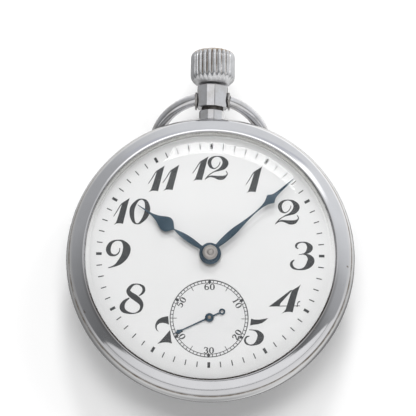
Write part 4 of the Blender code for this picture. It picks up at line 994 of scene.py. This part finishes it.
# a thin dark edge lies across the light below 6 o'clock
line = wramp(dz, [(0.0, 0.88), (0.50, 0.88), (0.513, 0.46), (0.547, 0.46), (0.56, 1.0), (1.0, 1.0)])
low2 = wnew("ShaderNodeMix", data_type="RGBA", blend_type="MULTIPLY")
wt.links.new(shade, low2.inputs["Factor"])
wt.links.new(low, low2.inputs["A"])
wt.links.new(line, low2.inputs["B"])
# below the horizon the metal sees the table, which darkens under the watch
half_z = wmath("ADD", wmath("MULTIPLY", dz, 0.5), 0.5)
low = wmix(wramp(half_z, [(0.0, 1.0), (0.46, 1.0), (0.54, 0.0), (1.0, 0.0)]), low2.outputs["Result"], turn(UNDER, 0.995))
low = wmix(wramp(half_z, [(0.0, 1.0), (0.07, 1.0), (0.17, 0.0), (1.0, 0.0)]), low, turn(DEEP, 1.0))
top = wramp(dz, [(0.0, 0.0), (0.978, 0.0), (0.997, 1.0), (1.0, 1.0)])
mixr = wnew("ShaderNodeMix", data_type="RGBA")
wt.links.new(top, mixr.inputs["Factor"])
wt.links.new(low, mixr.inputs["A"])
mixr.inputs["B"].default_value = (0.41, 0.41, 0.415, 1)
# a long lamp past 12 o'clock gives the inner lip its white line
def wband(v, lo, hi, soft):
    """1 between lo and hi, 0 outside, for a value from -1 to 1."""
    half = wmath("ADD", wmath("MULTIPLY", v, 0.5), 0.5)
    return wramp(half, [(0.0, 0.0), ((lo - soft) / 2 + 0.5, 0.0), ((lo + soft) / 2 + 0.5, 1.0), ((hi - soft) / 2 + 0.5, 1.0), ((hi + soft) / 2 + 0.5, 0.0), (1.0, 0.0)])


spot = wmath("MULTIPLY", wmath("MULTIPLY", wband(wmath("SUBTRACT", dy, wmath("MULTIPLY", dx, dx)), 0.085, 0.235, 0.02), wband(dx, -0.18, 0.32, 0.05)), wmath("GREATER_THAN", dz, 0.5))
hot = wnew("ShaderNodeMix", data_type="RGBA")
wt.links.new(spot, hot.inputs["Factor"])
wt.links.new(mixr.outputs["Result"], hot.inputs["A"])
hot.inputs["B"].default_value = (1.0, 1.0, 1.0, 1)
edge = wmath("MULTIPLY", wmath("MULTIPLY", wband(wmath("SUBTRACT", dy, wmath("MULTIPLY", dx, dx)), 0.27, 0.36, 0.03), wband(dx, -0.35, 0.42, 0.08)), wmath("GREATER_THAN", dz, 0.5))
greyed = wnew("ShaderNodeMix", data_type="RGBA")
wt.links.new(wmath("MULTIPLY", edge, 0.8), greyed.inputs["Factor"])
wt.links.new(hot.outputs["Result"], greyed.inputs["A"])
greyed.inputs["B"].default_value = (lin(172) / 1.32, lin(174) / 1.32, lin(182) / 1.32, 1)
lp = wnew("ShaderNodeLightPath")
plain = wnew("ShaderNodeMix", data_type="RGBA")
wt.links.new(lp.outputs["Is Glossy Ray"], plain.inputs["Factor"])
plain.inputs["A"].default_value = (0.235, 0.235, 0.235, 1)
wt.links.new(greyed.outputs["Result"], plain.inputs["B"])
bg = wnew("ShaderNodeBackground")
wt.links.new(plain.outputs["Result"], bg.inputs["Color"])
bg.inputs["Strength"].default_value = 2.0
wo = wnew("ShaderNodeOutputWorld")
wt.links.new(bg.outputs[0], wo.inputs["Surface"])

SC.view_settings.view_transform = "Standard"
SC.view_settings.look = "None"
SC.view_settings.exposure = 0.0
SC.view_settings.gamma = 1.0

sizes.update(note_size("finished"))
